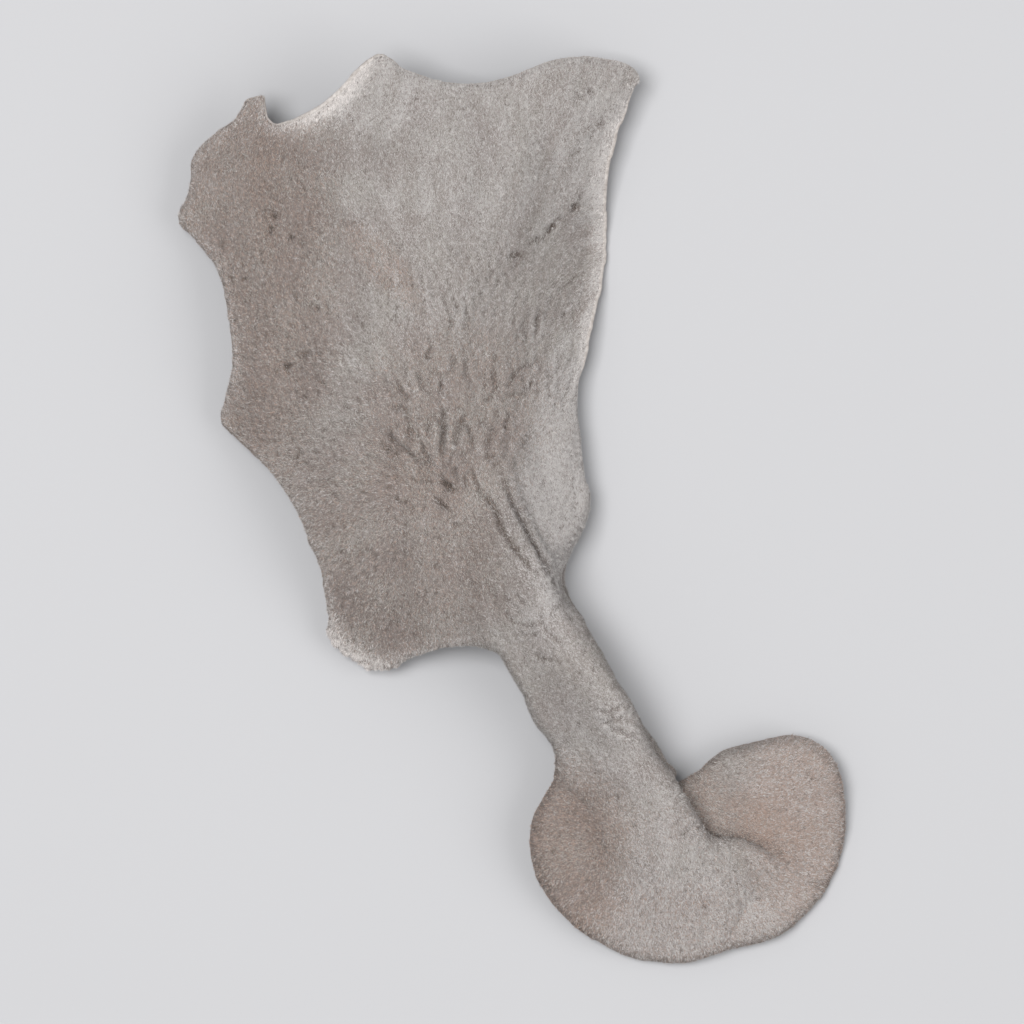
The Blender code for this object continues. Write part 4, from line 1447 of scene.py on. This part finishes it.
    def drop_to_frame(self, upper: Sheet) -> float:
        """How far the drawn sheet goes up, or down if negative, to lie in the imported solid.

        Args:
            upper: the felt side, which is still at the sheet's middle.

        Returns:
            The distance, in millimetres.
        """
        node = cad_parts[NODE]
        tree = BVHTree.FromPolygons(
            [v.co / MM for v in node.data.vertices], [tuple(p.vertices) for p in node.data.polygons]
        )
        normals = point_normals(upper.points, upper.triangles)
        shift = self.plan_shift()
        probed = (upper.depth > self.probe_depth) & (normals[:, 2] > self.probe_level)
        gaps = []
        for k in np.nonzero(probed)[0][::self.probe_every]:
            x, y, z = upper.points[k]
            above = Vector((x + shift[0], y + shift[1], self.probe_height))
            found, *_ = tree.ray_cast(above, Vector((0, 0, -1)))
            if found is not None:
                gaps.append(found.z - z - 0.5 * self.margin.thickness / normals[k, 2])
        lift = float(np.median(gaps))
        largest = np.abs(np.array(gaps) - lift).max()
        log.info("gap to the packed solid at %d places: %.2f mm standard deviation, %.2f mm largest",
                 len(gaps), np.std(gaps), largest)
        return lift

    def moved_out(self, sheet: Sheet, out: np.ndarray,
                  pull: np.ndarray) -> tuple[np.ndarray, np.ndarray]:
        """Moves a side off the sheet's middle and evens it out inside its rim.

        Args:
            sheet: the side.
            out: how far each point moves along its normal.
            pull: how strongly each point is drawn towards its neighbours.

        Returns:
            The moved points and the normals there.
        """
        moved = sheet.points + point_normals(sheet.points, sheet.triangles) * out[:, None]
        pull[sheet.last_ring] = 0.0
        moved = relaxed(moved, sheet.triangles, pull, self.relax_rounds)
        return moved, point_normals(moved, sheet.triangles)

    def raise_felt(self, upper: Sheet) -> None:
        """Moves the sheet's middle out to the felt's base and gives it its relief.

        Args:
            upper: the felt side.
        """
        half = 0.5 * self.margin.thickness * upper.taper - self.nap_room
        gap = np.minimum(*(fold.gap(upper.cloth) for fold in self.form.folds))
        pull = self.felt_pull * smooth_step((self.fold_reach - gap) / self.fold_blend)
        points, normals = self.moved_out(upper, half, pull)
        out, dark, self.light = self.felt.relief(upper.cloth, upper.depth)
        shades = [fold.shades(upper.cloth) for fold in self.form.folds]
        crevice, edge, self.beyond = np.sum(shades, axis=0)
        # Painted shade in the crevice under the neck's fold joins the dark of the furrows; the crest's
        # edge is darkened too
        self.dark = np.clip(dark + self.crevice_painted_shade * crevice + self.edge_dark * edge, 0.0, 1.0)
        upper.points = points + normals * out[:, None]
        self.normals = point_normals(upper.points, upper.triangles)

    def sink_smooth(self, lower: Sheet) -> None:
        """Moves the sheet's middle in to the smooth side and gives it its soft veins.

        Args:
            lower: the smooth side.
        """
        half = 0.5 * self.margin.thickness * lower.taper
        pull = np.full(len(lower.points), self.smooth_pull)
        points, normals = self.moved_out(lower, -half, pull)
        veins = self.vein_height * self.veins.pattern(lower.cloth, self.felt.fibres)
        veins *= smooth_step(lower.depth / self.vein_fade)
        lower.points = points + normals * veins[:, None]

    def join(self, upper: Sheet, lower: Sheet, shift: np.ndarray) -> bpy.types.Object:
        """Closes the two sides with a rounded rim.

        Args:
            upper: the felt side.
            lower: the smooth side.
            shift: from the drawing's origin to the frame's.

        Returns:
            The closed skin.
        """
        count = self.margin.count
        top, bottom = upper.points[upper.last_ring], lower.points[lower.last_ring]
        middle, half = (top + bottom) / 2, (top - bottom) / 2
        outward = unit(upper.outward[upper.last_ring])
        total = len(upper.points) + len(lower.points)
        ring = upper.last_ring
        rim, rim_triangles = [], []
        for step in range(1, self.rim_steps + 1):
            turn = math.pi * step / self.rim_steps
            if step < self.rim_steps:
                bulge = self.rim_bulge * math.sin(turn) * outward
                rim.append(middle + half * math.cos(turn) + bulge)
                after = np.arange(total, total + count)
                total += count
            else:
                after = lower.last_ring + len(upper.points)
            rim_triangles += strip(ring, after)
            ring = after
        rim_triangles = np.vstack(rim_triangles)
        points = np.vstack([upper.points, lower.points, *rim]) + shift
        points[:, 2] = np.maximum(points[:, 2], 0.0)
        lower_triangles = lower.triangles[:, ::-1] + len(upper.points)
        triangles = np.vstack([upper.triangles, lower_triangles, rim_triangles])
        sides = np.repeat(
            [Side.FELT.value, Side.SMOOTH.value, Side.RIM.value],
            [len(upper.triangles), len(lower_triangles), len(rim_triangles)],
        )
        self.upper, self.felt_points = upper, points[: len(upper.points)]
        skin = write_mesh("skin", points, triangles)
        skin.data.polygons.foreach_set("material_index", sides.astype(np.int32))
        for name, values in self.tints(upper, lower, len(rim)).items():
            layer = skin.data.attributes.new(name, "FLOAT", "POINT")
            layer.data.foreach_set("value", values.astype(np.float32))
        smooth = lower.cloth[lower.triangles[:, ::-1]]
        self.unwrap(skin, upper.cloth[upper.triangles], smooth, self.rim_plan())
        return skin

    def rim_plan(self) -> np.ndarray:
        """Where the rim's triangles lie when the rim is cut into rows and laid flat.

        Returns:
            The places of the three corners of each triangle.
        """
        count = self.margin.count
        pitch = self.margin.spacing / self.margin.finer
        station = np.arange(count)
        row = station * self.rim_rows // count
        along = (station - row * count / self.rim_rows) * pitch
        # The corners of the two triangles that strip() makes at each station
        corner_along = along[:, None] + pitch * np.array([[[0.0, 1.0, 1.0]], [[0.0, 1.0, 0.0]]])
        corner_step = np.array([[[0.0, 0.0, 1.0]], [[0.0, 1.0, 1.0]]])
        row_foot = row[:, None] * (self.rim_row_height + self.map_gap)
        plans = []
        for step in range(self.rim_steps):
            across = (step + corner_step) / self.rim_steps * self.rim_row_height + row_foot
            plans.append(np.stack(np.broadcast_arrays(corner_along, across), axis=-1).reshape(-1, 3, 2))
        return np.vstack(plans)

    def unwrap(self, skin: bpy.types.Object, felt: np.ndarray, smooth: np.ndarray,
               rim: np.ndarray) -> None:
        """Lays the skin out flat: the felt, its underside beside it and the rim's rows above.

        Args:
            skin: the skin.
            felt: the cloth places of the corners of the felt's triangles.
            smooth: the same for the underside.
            rim: the flat places of the corners of the rim's triangles.
        """
        low = np.minimum(felt.min(axis=(0, 1)), smooth.min(axis=(0, 1))) - self.map_gap
        high = np.maximum(felt.max(axis=(0, 1)), smooth.max(axis=(0, 1)))
        wide, tall = high - low
        mirrored = (2 * wide + self.map_gap, 0.0) + (smooth - low) * (-1.0, 1.0)
        above = rim + (self.map_gap, tall + self.map_gap)
        places = np.concatenate([felt - low, mirrored, above]) / (2 * wide + 2 * self.map_gap)
        flat = skin.data.uv_layers.new(name=FLAT_MAP)
        flat.data.foreach_set("uv", places.astype(np.float32).ravel())

    def tints(self, upper: Sheet, lower: Sheet, rim_rings: int) -> dict[str, np.ndarray]:
        """How white, pale, tanned, taupe and dark the skin is at each of its points; part of the pale
        is painted light, and part of the taupe and the dark is painted shade.

        Args:
            upper: the felt side.
            lower: the smooth side.
            rim_rings: how many rings of points the rim has of its own.

        Returns:
            The values of each attribute for the skin's points.
        """
        margin = self.margin
        shares = [(tint, tint.oval.share(upper.cloth)) for tint in TINTS]
        near_rim = np.exp(-((upper.depth / self.rim_fade) ** 2))
        pale = sum(tint.pale * share for tint, share in shares)
        pale += self.streak_pale * self.streaks.pattern(upper.cloth, self.felt.fibres)
        # Painted highlight on the ridges of the wrinkles and grooves; beyond the neck's fold the felt
        # turns less pale
        pale += self.ridge_painted_highlight * self.light + self.beyond_pale * self.beyond
        taupe_and_shade = sum(tint.taupe_and_shade * share for tint, share in shares)
        tan = sum(tint.tan * share for tint, share in shares) + self.beyond_tan * self.beyond
        self.tan = np.clip(tan, 0.0, 1.0)
        self.pale = np.clip(pale + margin.pale[upper.station] * near_rim, 0.0, 1.0)
        # Painted shade along the shaded stretches of the rim
        self.taupe_and_shade = np.clip(taupe_and_shade + margin.shade[upper.station] * near_rim, 0.0, 1.0)
        bare = np.clip(margin.pale, self.least_bare, 1.0)[upper.station]
        fading = np.exp(-((upper.depth / (self.white_fade * bare)) ** 2))
        self.white = bare**self.bare_power * fading
        below, rim = np.zeros(len(lower.points)), np.zeros(rim_rings * margin.count)
        return {
            "white": np.concatenate([self.white, below, rim]),
            "pale": np.concatenate([self.pale, below, np.tile(margin.pale, rim_rings)]),
            "taupe_and_shade": np.concatenate([self.taupe_and_shade, below, np.tile(margin.shade, rim_rings)]),
            "tan": np.concatenate([self.tan, below, rim]),
            "dark": np.concatenate([self.dark, below, rim]),
            "depth": np.concatenate([upper.depth, lower.depth, rim]),
        }


def write_mesh(name: str, points: np.ndarray, triangles: np.ndarray) -> bpy.types.Object:
    """Makes an object of triangles.

    Args:
        name: the object's name.
        points: its points in millimetres, in the frame.
        triangles: three indices a row.

    Returns:
        The object, linked to the scene and shaded smooth.
    """
    mesh = bpy.data.meshes.new(name)
    mesh.vertices.add(len(points))
    mesh.vertices.foreach_set("co", (points * MM).astype(np.float32).ravel())
    mesh.loops.add(triangles.size)
    mesh.loops.foreach_set("vertex_index", triangles.astype(np.int32).ravel())
    mesh.polygons.add(len(triangles))
    mesh.polygons.foreach_set("loop_start", np.arange(0, triangles.size, 3, dtype=np.int32))
    mesh.update(calc_edges=True)
    mesh.validate()
    mesh.shade_smooth()
    made = bpy.data.objects.new(name, mesh)
    bpy.context.scene.collection.objects.link(made)
    return made


def linear(red: int, green: int, blue: int) -> tuple[float, float, float, float]:
    """A colour given as display values from 0 to 255, taken off the sRGB curve."""
    shares = (value / 255 for value in (red, green, blue))
    return (*(s / 12.92 if s <= 0.04045 else ((s + 0.055) / 1.055) ** 2.4 for s in shares), 1.0)


class Shading:
    """A material's node tree, filled from its coordinates to its shader."""

    def __init__(self, name: str) -> None:
        """Starts a material with nothing but its shader.

        Args:
            name: the material's name.
        """
        self.material = bpy.data.materials.new(name)
        self.material.use_nodes = True
        self.nodes = self.material.node_tree.nodes
        self.links = self.material.node_tree.links
        self.shader = self.nodes["Principled BSDF"]
        self.place = self.nodes.new("ShaderNodeTexCoord").outputs["Object"]

    def attribute(self, name: str) -> bpy.types.NodeSocket:
        """One of the skin's attributes.

        Args:
            name: the attribute's name.

        Returns:
            The socket with its value.
        """
        node = self.nodes.new("ShaderNodeAttribute")
        node.attribute_name = name
        return node.outputs["Fac"]

    def noise(self, per_mm: float, detail: float = 2.0, roughness: float = 0.5) -> bpy.types.NodeSocket:
        """Noise over the object's own coordinates.

        Args:
            per_mm: how many blotches go to the millimetre.
            detail: how many finer layers it has.
            roughness: how strong these are.

        Returns:
            The socket with its value.
        """
        node = self.nodes.new("ShaderNodeTexNoise")
        node.inputs["Scale"].default_value = per_mm / MM
        node.inputs["Detail"].default_value = detail
        node.inputs["Roughness"].default_value = roughness
        self.links.new(self.place, node.inputs["Vector"])
        return node.outputs["Fac"]

    def math(self, operation: str, first: object, second: object = 0.0) -> bpy.types.NodeSocket:
        """A sum, product or other operation.

        Args:
            operation: its name, as the math node has it.
            first: a socket or a number.
            second: another.

        Returns:
            The socket with its result.
        """
        node = self.nodes.new("ShaderNodeMath")
        node.operation = operation
        for socket, value in zip(node.inputs, (first, second)):
            if isinstance(value, bpy.types.NodeSocket):
                self.links.new(value, socket)
            else:
                socket.default_value = value
        return node.outputs[0]

    def ramp(self, value: bpy.types.NodeSocket, low: float, high: float) -> bpy.types.NodeSocket:
        """A value stretched to run from 0 to 1.

        Args:
            value: the socket with the value.
            low: what becomes 0.
            high: what becomes 1.

        Returns:
            The socket with the stretched value.
        """
        node = self.nodes.new("ShaderNodeMapRange")
        node.inputs["From Min"].default_value = low
        node.inputs["From Max"].default_value = high
        self.links.new(value, node.inputs["Value"])
        return node.outputs["Result"]

    def mix(self, share: bpy.types.NodeSocket, first: object, second: object) -> bpy.types.NodeSocket:
        """A colour between two others.

        Args:
            share: the socket that says how much of the second there is.
            first: a socket or a colour.
            second: another.

        Returns:
            The socket with the mixed colour.
        """
        node = self.nodes.new("ShaderNodeMix")
        node.data_type = "RGBA"
        self.links.new(share, node.inputs["Factor"])
        for name, value in (("A", first), ("B", second)):
            socket = next(s for s in node.inputs if s.name == name and s.type == "RGBA")
            if isinstance(value, bpy.types.NodeSocket):
                self.links.new(value, socket)
            else:
                socket.default_value = value
        return next(s for s in node.outputs if s.type == "RGBA")

    def bump(self, height: bpy.types.NodeSocket, strength: float, distance_mm: float) -> None:
        """Roughens the surface.

        Args:
            height: the socket with the height.
            strength: how much of it shows, from 0 to 1.
            distance_mm: how high 1 is.
        """
        node = self.nodes.new("ShaderNodeBump")
        node.inputs["Strength"].default_value = strength
        node.inputs["Distance"].default_value = distance_mm * MM
        self.links.new(height, node.inputs["Height"])
        self.links.new(node.outputs["Normal"], self.shader.inputs["Normal"])

    def plain(self, **values: float) -> None:
        """Sets numbers on the shader's own sockets, by names with _ for a space."""
        for name, value in values.items():
            self.shader.inputs[name.replace("_", " ")].default_value = value

    def colour(self, socket: bpy.types.NodeSocket) -> None:
        """Gives the shader its colour."""
        self.links.new(socket, self.shader.inputs["Base Color"])

    def paint(self, colour: tuple[int, int, int]) -> None:
        """Gives the shader one colour all over, as display values."""
        self.shader.inputs["Base Color"].default_value = linear(*colour)


@dataclass(frozen=True)
class FeltFinish:
    """The matted base of the felt, which shows between the hairs of the nap."""

    grey: tuple[int, int, int] = (134, 127, 123)
    pale: tuple[int, int, int] = (164, 160, 158)
    white: tuple[int, int, int] = (196, 191, 188)
    tan: tuple[int, int, int] = (138, 121, 112)
    taupe: tuple[int, int, int] = (106, 97, 92)
    umber: tuple[int, int, int] = (74, 66, 61)
    least_tint: float = 0.4
    speck_dark: float = 0.28

    def material(self) -> bpy.types.Material:
        """Makes the finish from the skin's attributes and two sizes of noise.

        Returns:
            The material.
        """
        shading = Shading("felt_base")
        blotches = shading.ramp(shading.noise(per_mm=0.45, detail=3.0), low=0.3, high=0.7)
        grain = shading.noise(per_mm=3.2, detail=2.0, roughness=0.6)
        specks = shading.ramp(grain, low=0.35, high=0.65)
        uneven = shading.math("ADD", blotches, self.least_tint)
        base = linear(*self.grey)
        # Part of the pale is painted light, and part of the taupe is painted shade
        for name, colour in (("pale", self.pale), ("tan", self.tan), ("taupe_and_shade", self.taupe)):
            share = shading.math("MULTIPLY", shading.attribute(name), uneven)
            base = shading.mix(share, base, linear(*colour))
        base = shading.mix(shading.attribute("white"), base, linear(*self.white))
        specked = shading.math("MULTIPLY", specks, self.speck_dark)
        # The dark attribute holds painted shade in the furrows, grooves and the fold's crevice, and the
        # darkened pits; the specks are the felt's own
        dark = shading.math("MAXIMUM", shading.attribute("dark"), specked)
        shading.colour(shading.mix(dark, base, linear(*self.umber)))
        matting = shading.noise(per_mm=4.0, detail=3.0, roughness=0.6)
        shading.bump(matting, strength=0.5, distance_mm=0.12)
        shading.plain(Roughness=0.95, Specular_IOR_Level=0.2)
        return shading.material


@dataclass(frozen=True)
class RimFinish:
    """The pale cut rim, where the flesh shows."""

    flesh: tuple[int, int, int] = (158, 150, 144)
    pale: tuple[int, int, int] = (196, 191, 187)
    shade: tuple[int, int, int] = (104, 92, 84)
    grain_dark: float = 0.5

    def material(self) -> bpy.types.Material:
        """Makes the finish with a fibrous grain.

        Returns:
            The material.
        """
        shading = Shading("rim_flesh")
        noise = shading.noise(per_mm=2.4, detail=3.0, roughness=0.6)
        grain = shading.ramp(noise, low=0.32, high=0.68)
        base = shading.mix(shading.attribute("pale"), linear(*self.flesh), linear(*self.pale))
        # Painted shade on the rim of the shaded stretches
        base = shading.mix(shading.attribute("taupe_and_shade"), base, linear(*self.shade))
        darker = shading.math("MULTIPLY", grain, self.grain_dark)
        shading.colour(shading.mix(darker, base, linear(*self.shade)))
        shading.bump(shading.noise(per_mm=5.0, detail=2.0), strength=0.5, distance_mm=0.08)
        shading.plain(Roughness=0.85, Specular_IOR_Level=0.3)
        return shading.material


@dataclass(frozen=True)
class SmoothFinish:
    """The smooth underside: near black, with purple and olive clouds and a soft gloss."""

    black: tuple[int, int, int] = (44, 38, 41)
    purple: tuple[int, int, int] = (70, 48, 58)
    olive: tuple[int, int, int] = (48, 50, 46)
    flesh: tuple[int, int, int] = (128, 114, 104)

    def material(self) -> bpy.types.Material:
        """Makes the finish, which turns to the colour of flesh just inside the rim.

        Returns:
            The material.
        """
        shading = Shading("smooth_underside")
        purple = shading.ramp(shading.noise(per_mm=0.09, detail=2.0), low=0.42, high=0.62)
        olive = shading.ramp(shading.noise(per_mm=0.14, detail=3.0), low=0.5, high=0.7)
        base = shading.mix(purple, linear(*self.black), linear(*self.purple))
        base = shading.mix(olive, base, linear(*self.olive))
        depth, noise = shading.attribute("depth"), shading.noise(per_mm=0.8, detail=2.0)
        near_rim = shading.ramp(shading.math("ADD", depth, noise), low=1.3, high=0.6)
        shading.colour(shading.mix(near_rim, base, linear(*self.flesh)))
        skin = shading.noise(per_mm=0.9, detail=4.0, roughness=0.55)
        shading.bump(skin, strength=0.35, distance_mm=0.25)
        shading.plain(Roughness=0.46, Specular_IOR_Level=0.45)
        return shading.material


class Tone(Enum):
    """The tones of the nap's hairs, as display colours."""

    WHITE = (214, 208, 205)
    PALE = (184, 180, 178)
    GREY = (161, 157, 152)
    TAUPE = (137, 127, 123)
    TAN = (158, 138, 127)
    UMBER = (98, 88, 82)


@dataclass
class Nap:
    """The felt's short hairs: thin blades that lie over each other along the fibres' heading."""

    per_mm2: float = 185.0
    quick_per_mm2: float = 60.0
    shortest: float = 0.2
    longest: float = 0.46
    width: float = 0.055
    width_spread: tuple[float, float] = (0.7, 1.3)
    flattest: float = math.radians(8)
    steepest: float = math.radians(34)
    stray: float = 0.42
    tufts: Wrinkles = Wrinkles(0.8, 0.6, 1.3, 1.6, seed=33)
    tuft_turn: float = 0.35
    tuft_pale: float = 0.09
    tuft_dark: float = 0.1
    tuft_length: float = 0.12
    patches: Wrinkles = Wrinkles(7.0, 5.0, 1.3, 0.06, seed=34)
    patch_share: float = 0.17
    most_wave: float = 2.0
    white_most: float = 0.85
    umber_least: float = 0.03
    umber_dark: float = 0.8
    umber_from_taupe_and_shade: float = 0.1
    tan_most: float = 0.8
    pale_least: float = 0.12
    pale_more: float = 0.75
    pale_lost_to_taupe_and_shade: float = 0.7
    taupe_least: float = 0.35
    taupe_from_taupe_and_shade: float = 0.4
    sunk: float = 0.03
    seed: int = 31
    most_in_piece: int = 180_000

    def build(self, skin: Skin) -> list[bpy.types.Object]:
        """Grows the nap on the skin's felt.

        Args:
            skin: the built skin.

        Returns:
            The nap's pieces, each of one tone.
        """
        rng = np.random.default_rng(self.seed)
        points, triangles = skin.felt_points, skin.upper.triangles
        a, b, c = (points[triangles[:, k]] for k in range(3))
        areas = 0.5 * np.linalg.norm(np.cross(b - a, c - a), axis=1)
        density = self.per_mm2
        count = int(areas.sum() * density)
        log.info("felt of %.0f mm2 carries %d hairs", areas.sum(), count)
        chosen = rng.choice(len(triangles), count, p=areas / areas.sum())
        weights = rng.dirichlet((1.0, 1.0, 1.0), count)
        corners = triangles[chosen]

        def at_roots(values: np.ndarray) -> np.ndarray:
            """Values of the skin's points, read at the hairs' roots."""
            return np.einsum("nk,nk...->n...", weights, values[corners])

        roots, normals = at_roots(points), unit(at_roots(skin.normals))
        laid = self.laid(skin)[corners[:, 0]] * rng.choice((-1.0, 1.0), count)[:, None]
        laid = unit(laid - (laid * normals).sum(axis=1)[:, None] * normals)
        cloth, fibres = at_roots(skin.upper.cloth), skin.felt.fibres
        tuft = np.clip(self.tufts.pattern(cloth, fibres), -self.most_wave, self.most_wave)
        patch = np.clip(self.patches.pattern(cloth, fibres), -self.most_wave, self.most_wave)
        turned = (rng.normal(0.0, self.stray, count) + self.tuft_turn * tuft)[:, None]
        beside = np.cross(normals, laid)
        laid = laid * np.cos(turned) + beside * np.sin(turned)
        lean = rng.uniform(self.flattest, self.steepest, count)[:, None]
        direction = laid * np.cos(lean) + normals * np.sin(lean)
        across = unit(np.cross(direction, normals))
        length = rng.uniform(self.shortest, self.longest, count) * (1.0 + self.tuft_length * tuft)
        half = 0.5 * self.width * rng.uniform(*self.width_spread, count)[:, None]
        foot = roots - normals * self.sunk
        tips = foot + direction * length[:, None]
        tips[:, 2] = np.maximum(tips[:, 2], 0.0)
        blades = np.stack([foot - across * half, foot + across * half, tips], axis=1)
        # The hairs take the felt's tones, painted light and painted shade included
        pale = np.clip(at_roots(skin.pale) + self.tuft_pale * tuft, 0.0, 1.0)
        dark = np.clip(at_roots(skin.dark) - self.tuft_dark * tuft, 0.0, 1.0)
        white, tan, taupe_and_shade = map(at_roots, (skin.white, skin.tan, skin.taupe_and_shade))
        shares = (white, pale, tan, taupe_and_shade, dark, self.patch_share * patch)
        return self.pieces(blades, self.tones(rng, *shares))

    def laid(self, skin: Skin) -> np.ndarray:
        """The fibres' direction in space.

        Args:
            skin: the built skin.

        Returns:
            The direction at each point of the felt.
        """
        sheet = skin.upper
        headings = skin.felt.fibres.headings(sheet.cloth)
        heading = np.column_stack([np.cos(headings), np.sin(headings)])
        out_share = (heading * unit(sheet.outward[:, :2])).sum(axis=1)[:, None]
        along_share = (heading * unit(sheet.along[:, :2])).sum(axis=1)[:, None]
        return out_share * sheet.outward + along_share * sheet.along

    def tones(self, rng: np.random.Generator, white: np.ndarray, pale: np.ndarray, tan: np.ndarray,
              taupe_and_shade: np.ndarray, dark: np.ndarray, patch: np.ndarray) -> np.ndarray:
        """Which tone each hair has.

        Args:
            rng: the draw.
            white: how white the felt is at each hair, from 0 to 1.
            pale: how pale it is, painted light included.
            tan: how tanned it is.
            taupe_and_shade: how taupe it is, painted shade included.
            dark: how dark it is, painted shade included.
            patch: how much more taupe and less grey it is than elsewhere.

        Returns:
            The index of each hair's tone.
        """
        whites = self.white_most * white * (1.0 - dark)
        darkened = self.umber_least + self.umber_dark * dark + self.umber_from_taupe_and_shade * taupe_and_shade * (1.0 - dark)
        umber = (1.0 - whites) * darkened
        tanned = (1.0 - whites - umber) * self.tan_most * tan
        left = 1.0 - whites - umber - tanned
        pales = left * (self.pale_least + self.pale_more * pale) * (1.0 - self.pale_lost_to_taupe_and_shade * taupe_and_shade)
        taupe = (left - pales) * (self.taupe_least + self.taupe_from_taupe_and_shade * taupe_and_shade + patch)
        bounds = np.cumsum(np.stack([whites, pales, left - pales - taupe, taupe, tanned]), axis=0)
        return (rng.uniform(size=len(pale)) > bounds).sum(axis=0)

    def pieces(self, blades: np.ndarray, tones: np.ndarray) -> list[bpy.types.Object]:
        """The blades as pieces of one tone each, none of them too large.

        Args:
            blades: the three corners of each blade, in millimetres.
            tones: the index of each blade's tone.

        Returns:
            The pieces.
        """
        made = []
        for index, tone in enumerate(Tone):
            chosen = blades[tones == index]
            shading = Shading("nap_" + tone.name.lower())
            shading.paint(tone.value)
            shading.plain(Roughness=0.9, Specular_IOR_Level=0.25, Sheen_Weight=0.15)
            parts = math.ceil(len(chosen) / self.most_in_piece)
            for part in range(parts):
                some = chosen[part::parts]
                triangles = np.arange(3 * len(some)).reshape(-1, 3)
                name = f"nap_{tone.name.lower()}_{part + 1}"
                piece = write_mesh(name, some.reshape(-1, 3), triangles)
                piece.data.materials.append(shading.material)
                made.append(piece)
        return made


@dataclass(frozen=True)
class Lamp:
    """A square soft light: its place and its side in metres, and its power in watts."""

    name: str
    place: tuple[float, float, float]
    side: float
    watts: float


@dataclass
class Studio:
    """A pale floor, soft light and the camera, which looks straight down."""

    floor_side: float = 4.0
    floor_drop: float = 0.00002
    floor_colour: tuple[int, int, int] = (176, 176, 178)
    lamps: tuple[Lamp, ...] = (
        Lamp("key", (-0.17, 0.06, 0.65), 0.3, 4.5), Lamp("fill", (0.55, -0.1, 0.5), 0.6, 2.8))
    sky_strength: float = 0.42
    lens_mm: float = 200.0
    room: float = 1.1

    def build(self) -> None:
        """Sets everything up round the frame's box."""
        low, high = CAD_BOX
        self.floor()
        middle = (low + high) / 2
        for lamp in self.lamps:
            self.light(lamp, middle)
        self.sky()
        self.camera(middle, (high - low).y, high.z)

    def floor(self) -> None:
        """Lays the floor just under the part."""
        half = self.floor_side / 2
        corners = [(-half, -half, 0), (half, -half, 0), (half, half, 0), (-half, half, 0)]
        mesh = bpy.data.meshes.new("floor")
        mesh.from_pydata(corners, [], [(0, 1, 2, 3)])
        floor = bpy.data.objects.new("floor", mesh)
        floor.location.z = -self.floor_drop
        bpy.context.scene.collection.objects.link(floor)
        shading = Shading("floor")
        shading.paint(self.floor_colour)
        shading.plain(Roughness=0.9, Specular_IOR_Level=0.2)
        mesh.materials.append(shading.material)

    def light(self, lamp: Lamp, target: Vector) -> None:
        """Hangs a lamp.

        Args:
            lamp: the lamp.
            target: what it faces.
        """
        data = bpy.data.lights.new(lamp.name, "AREA")
        data.size = lamp.side
        data.energy = lamp.watts
        hung = bpy.data.objects.new(lamp.name, data)
        hung.location = lamp.place
        hung.rotation_euler = (target - Vector(lamp.place)).to_track_quat("-Z", "Y").to_euler()
        bpy.context.scene.collection.objects.link(hung)

    def sky(self) -> None:
        """Fills the room with even light."""
        world = bpy.data.worlds.new("studio")
        world.use_nodes = True
        background = world.node_tree.nodes["Background"]
        background.inputs["Color"].default_value = (1.0, 1.0, 1.0, 1.0)
        background.inputs["Strength"].default_value = self.sky_strength
        bpy.context.scene.world = world
        bpy.context.scene.view_settings.view_transform = "Standard"

    def camera(self, target: Vector, height: float, top: float) -> None:
        """Sets the camera over the part, with +Y up in the picture.

        Args:
            target: the middle of the part.
            height: how tall the part is in the picture, in metres.
            top: its highest point.
        """
        data = bpy.data.cameras.new("camera")
        data.lens = self.lens_mm
        half = math.atan(data.sensor_width / 2 / data.lens)
        camera = bpy.data.objects.new("camera", data)
        distance = 0.5 * self.room * height / math.tan(half)
        camera.location = (target.x, target.y, top + distance)
        bpy.context.scene.collection.objects.link(camera)
        bpy.context.scene.camera = camera


def main() -> None:
    """Builds the skin, the nap and the studio, and reports each piece."""
    logging.basicConfig(level=logging.INFO, format="%(name)s: %(message)s")
    skin = Skin()
    body = skin.build()
    for finish in (FeltFinish(), RimFinish(), SmoothFinish()):
        body.data.materials.append(finish.material())
    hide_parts(NODE)
    for piece in [body, *Nap().build(skin)]:
        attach(piece, BODY)
        log.info("%s: %d triangles", piece.name, len(piece.data.polygons))
    Studio().build()


if __name__ == "__main__":
    main()
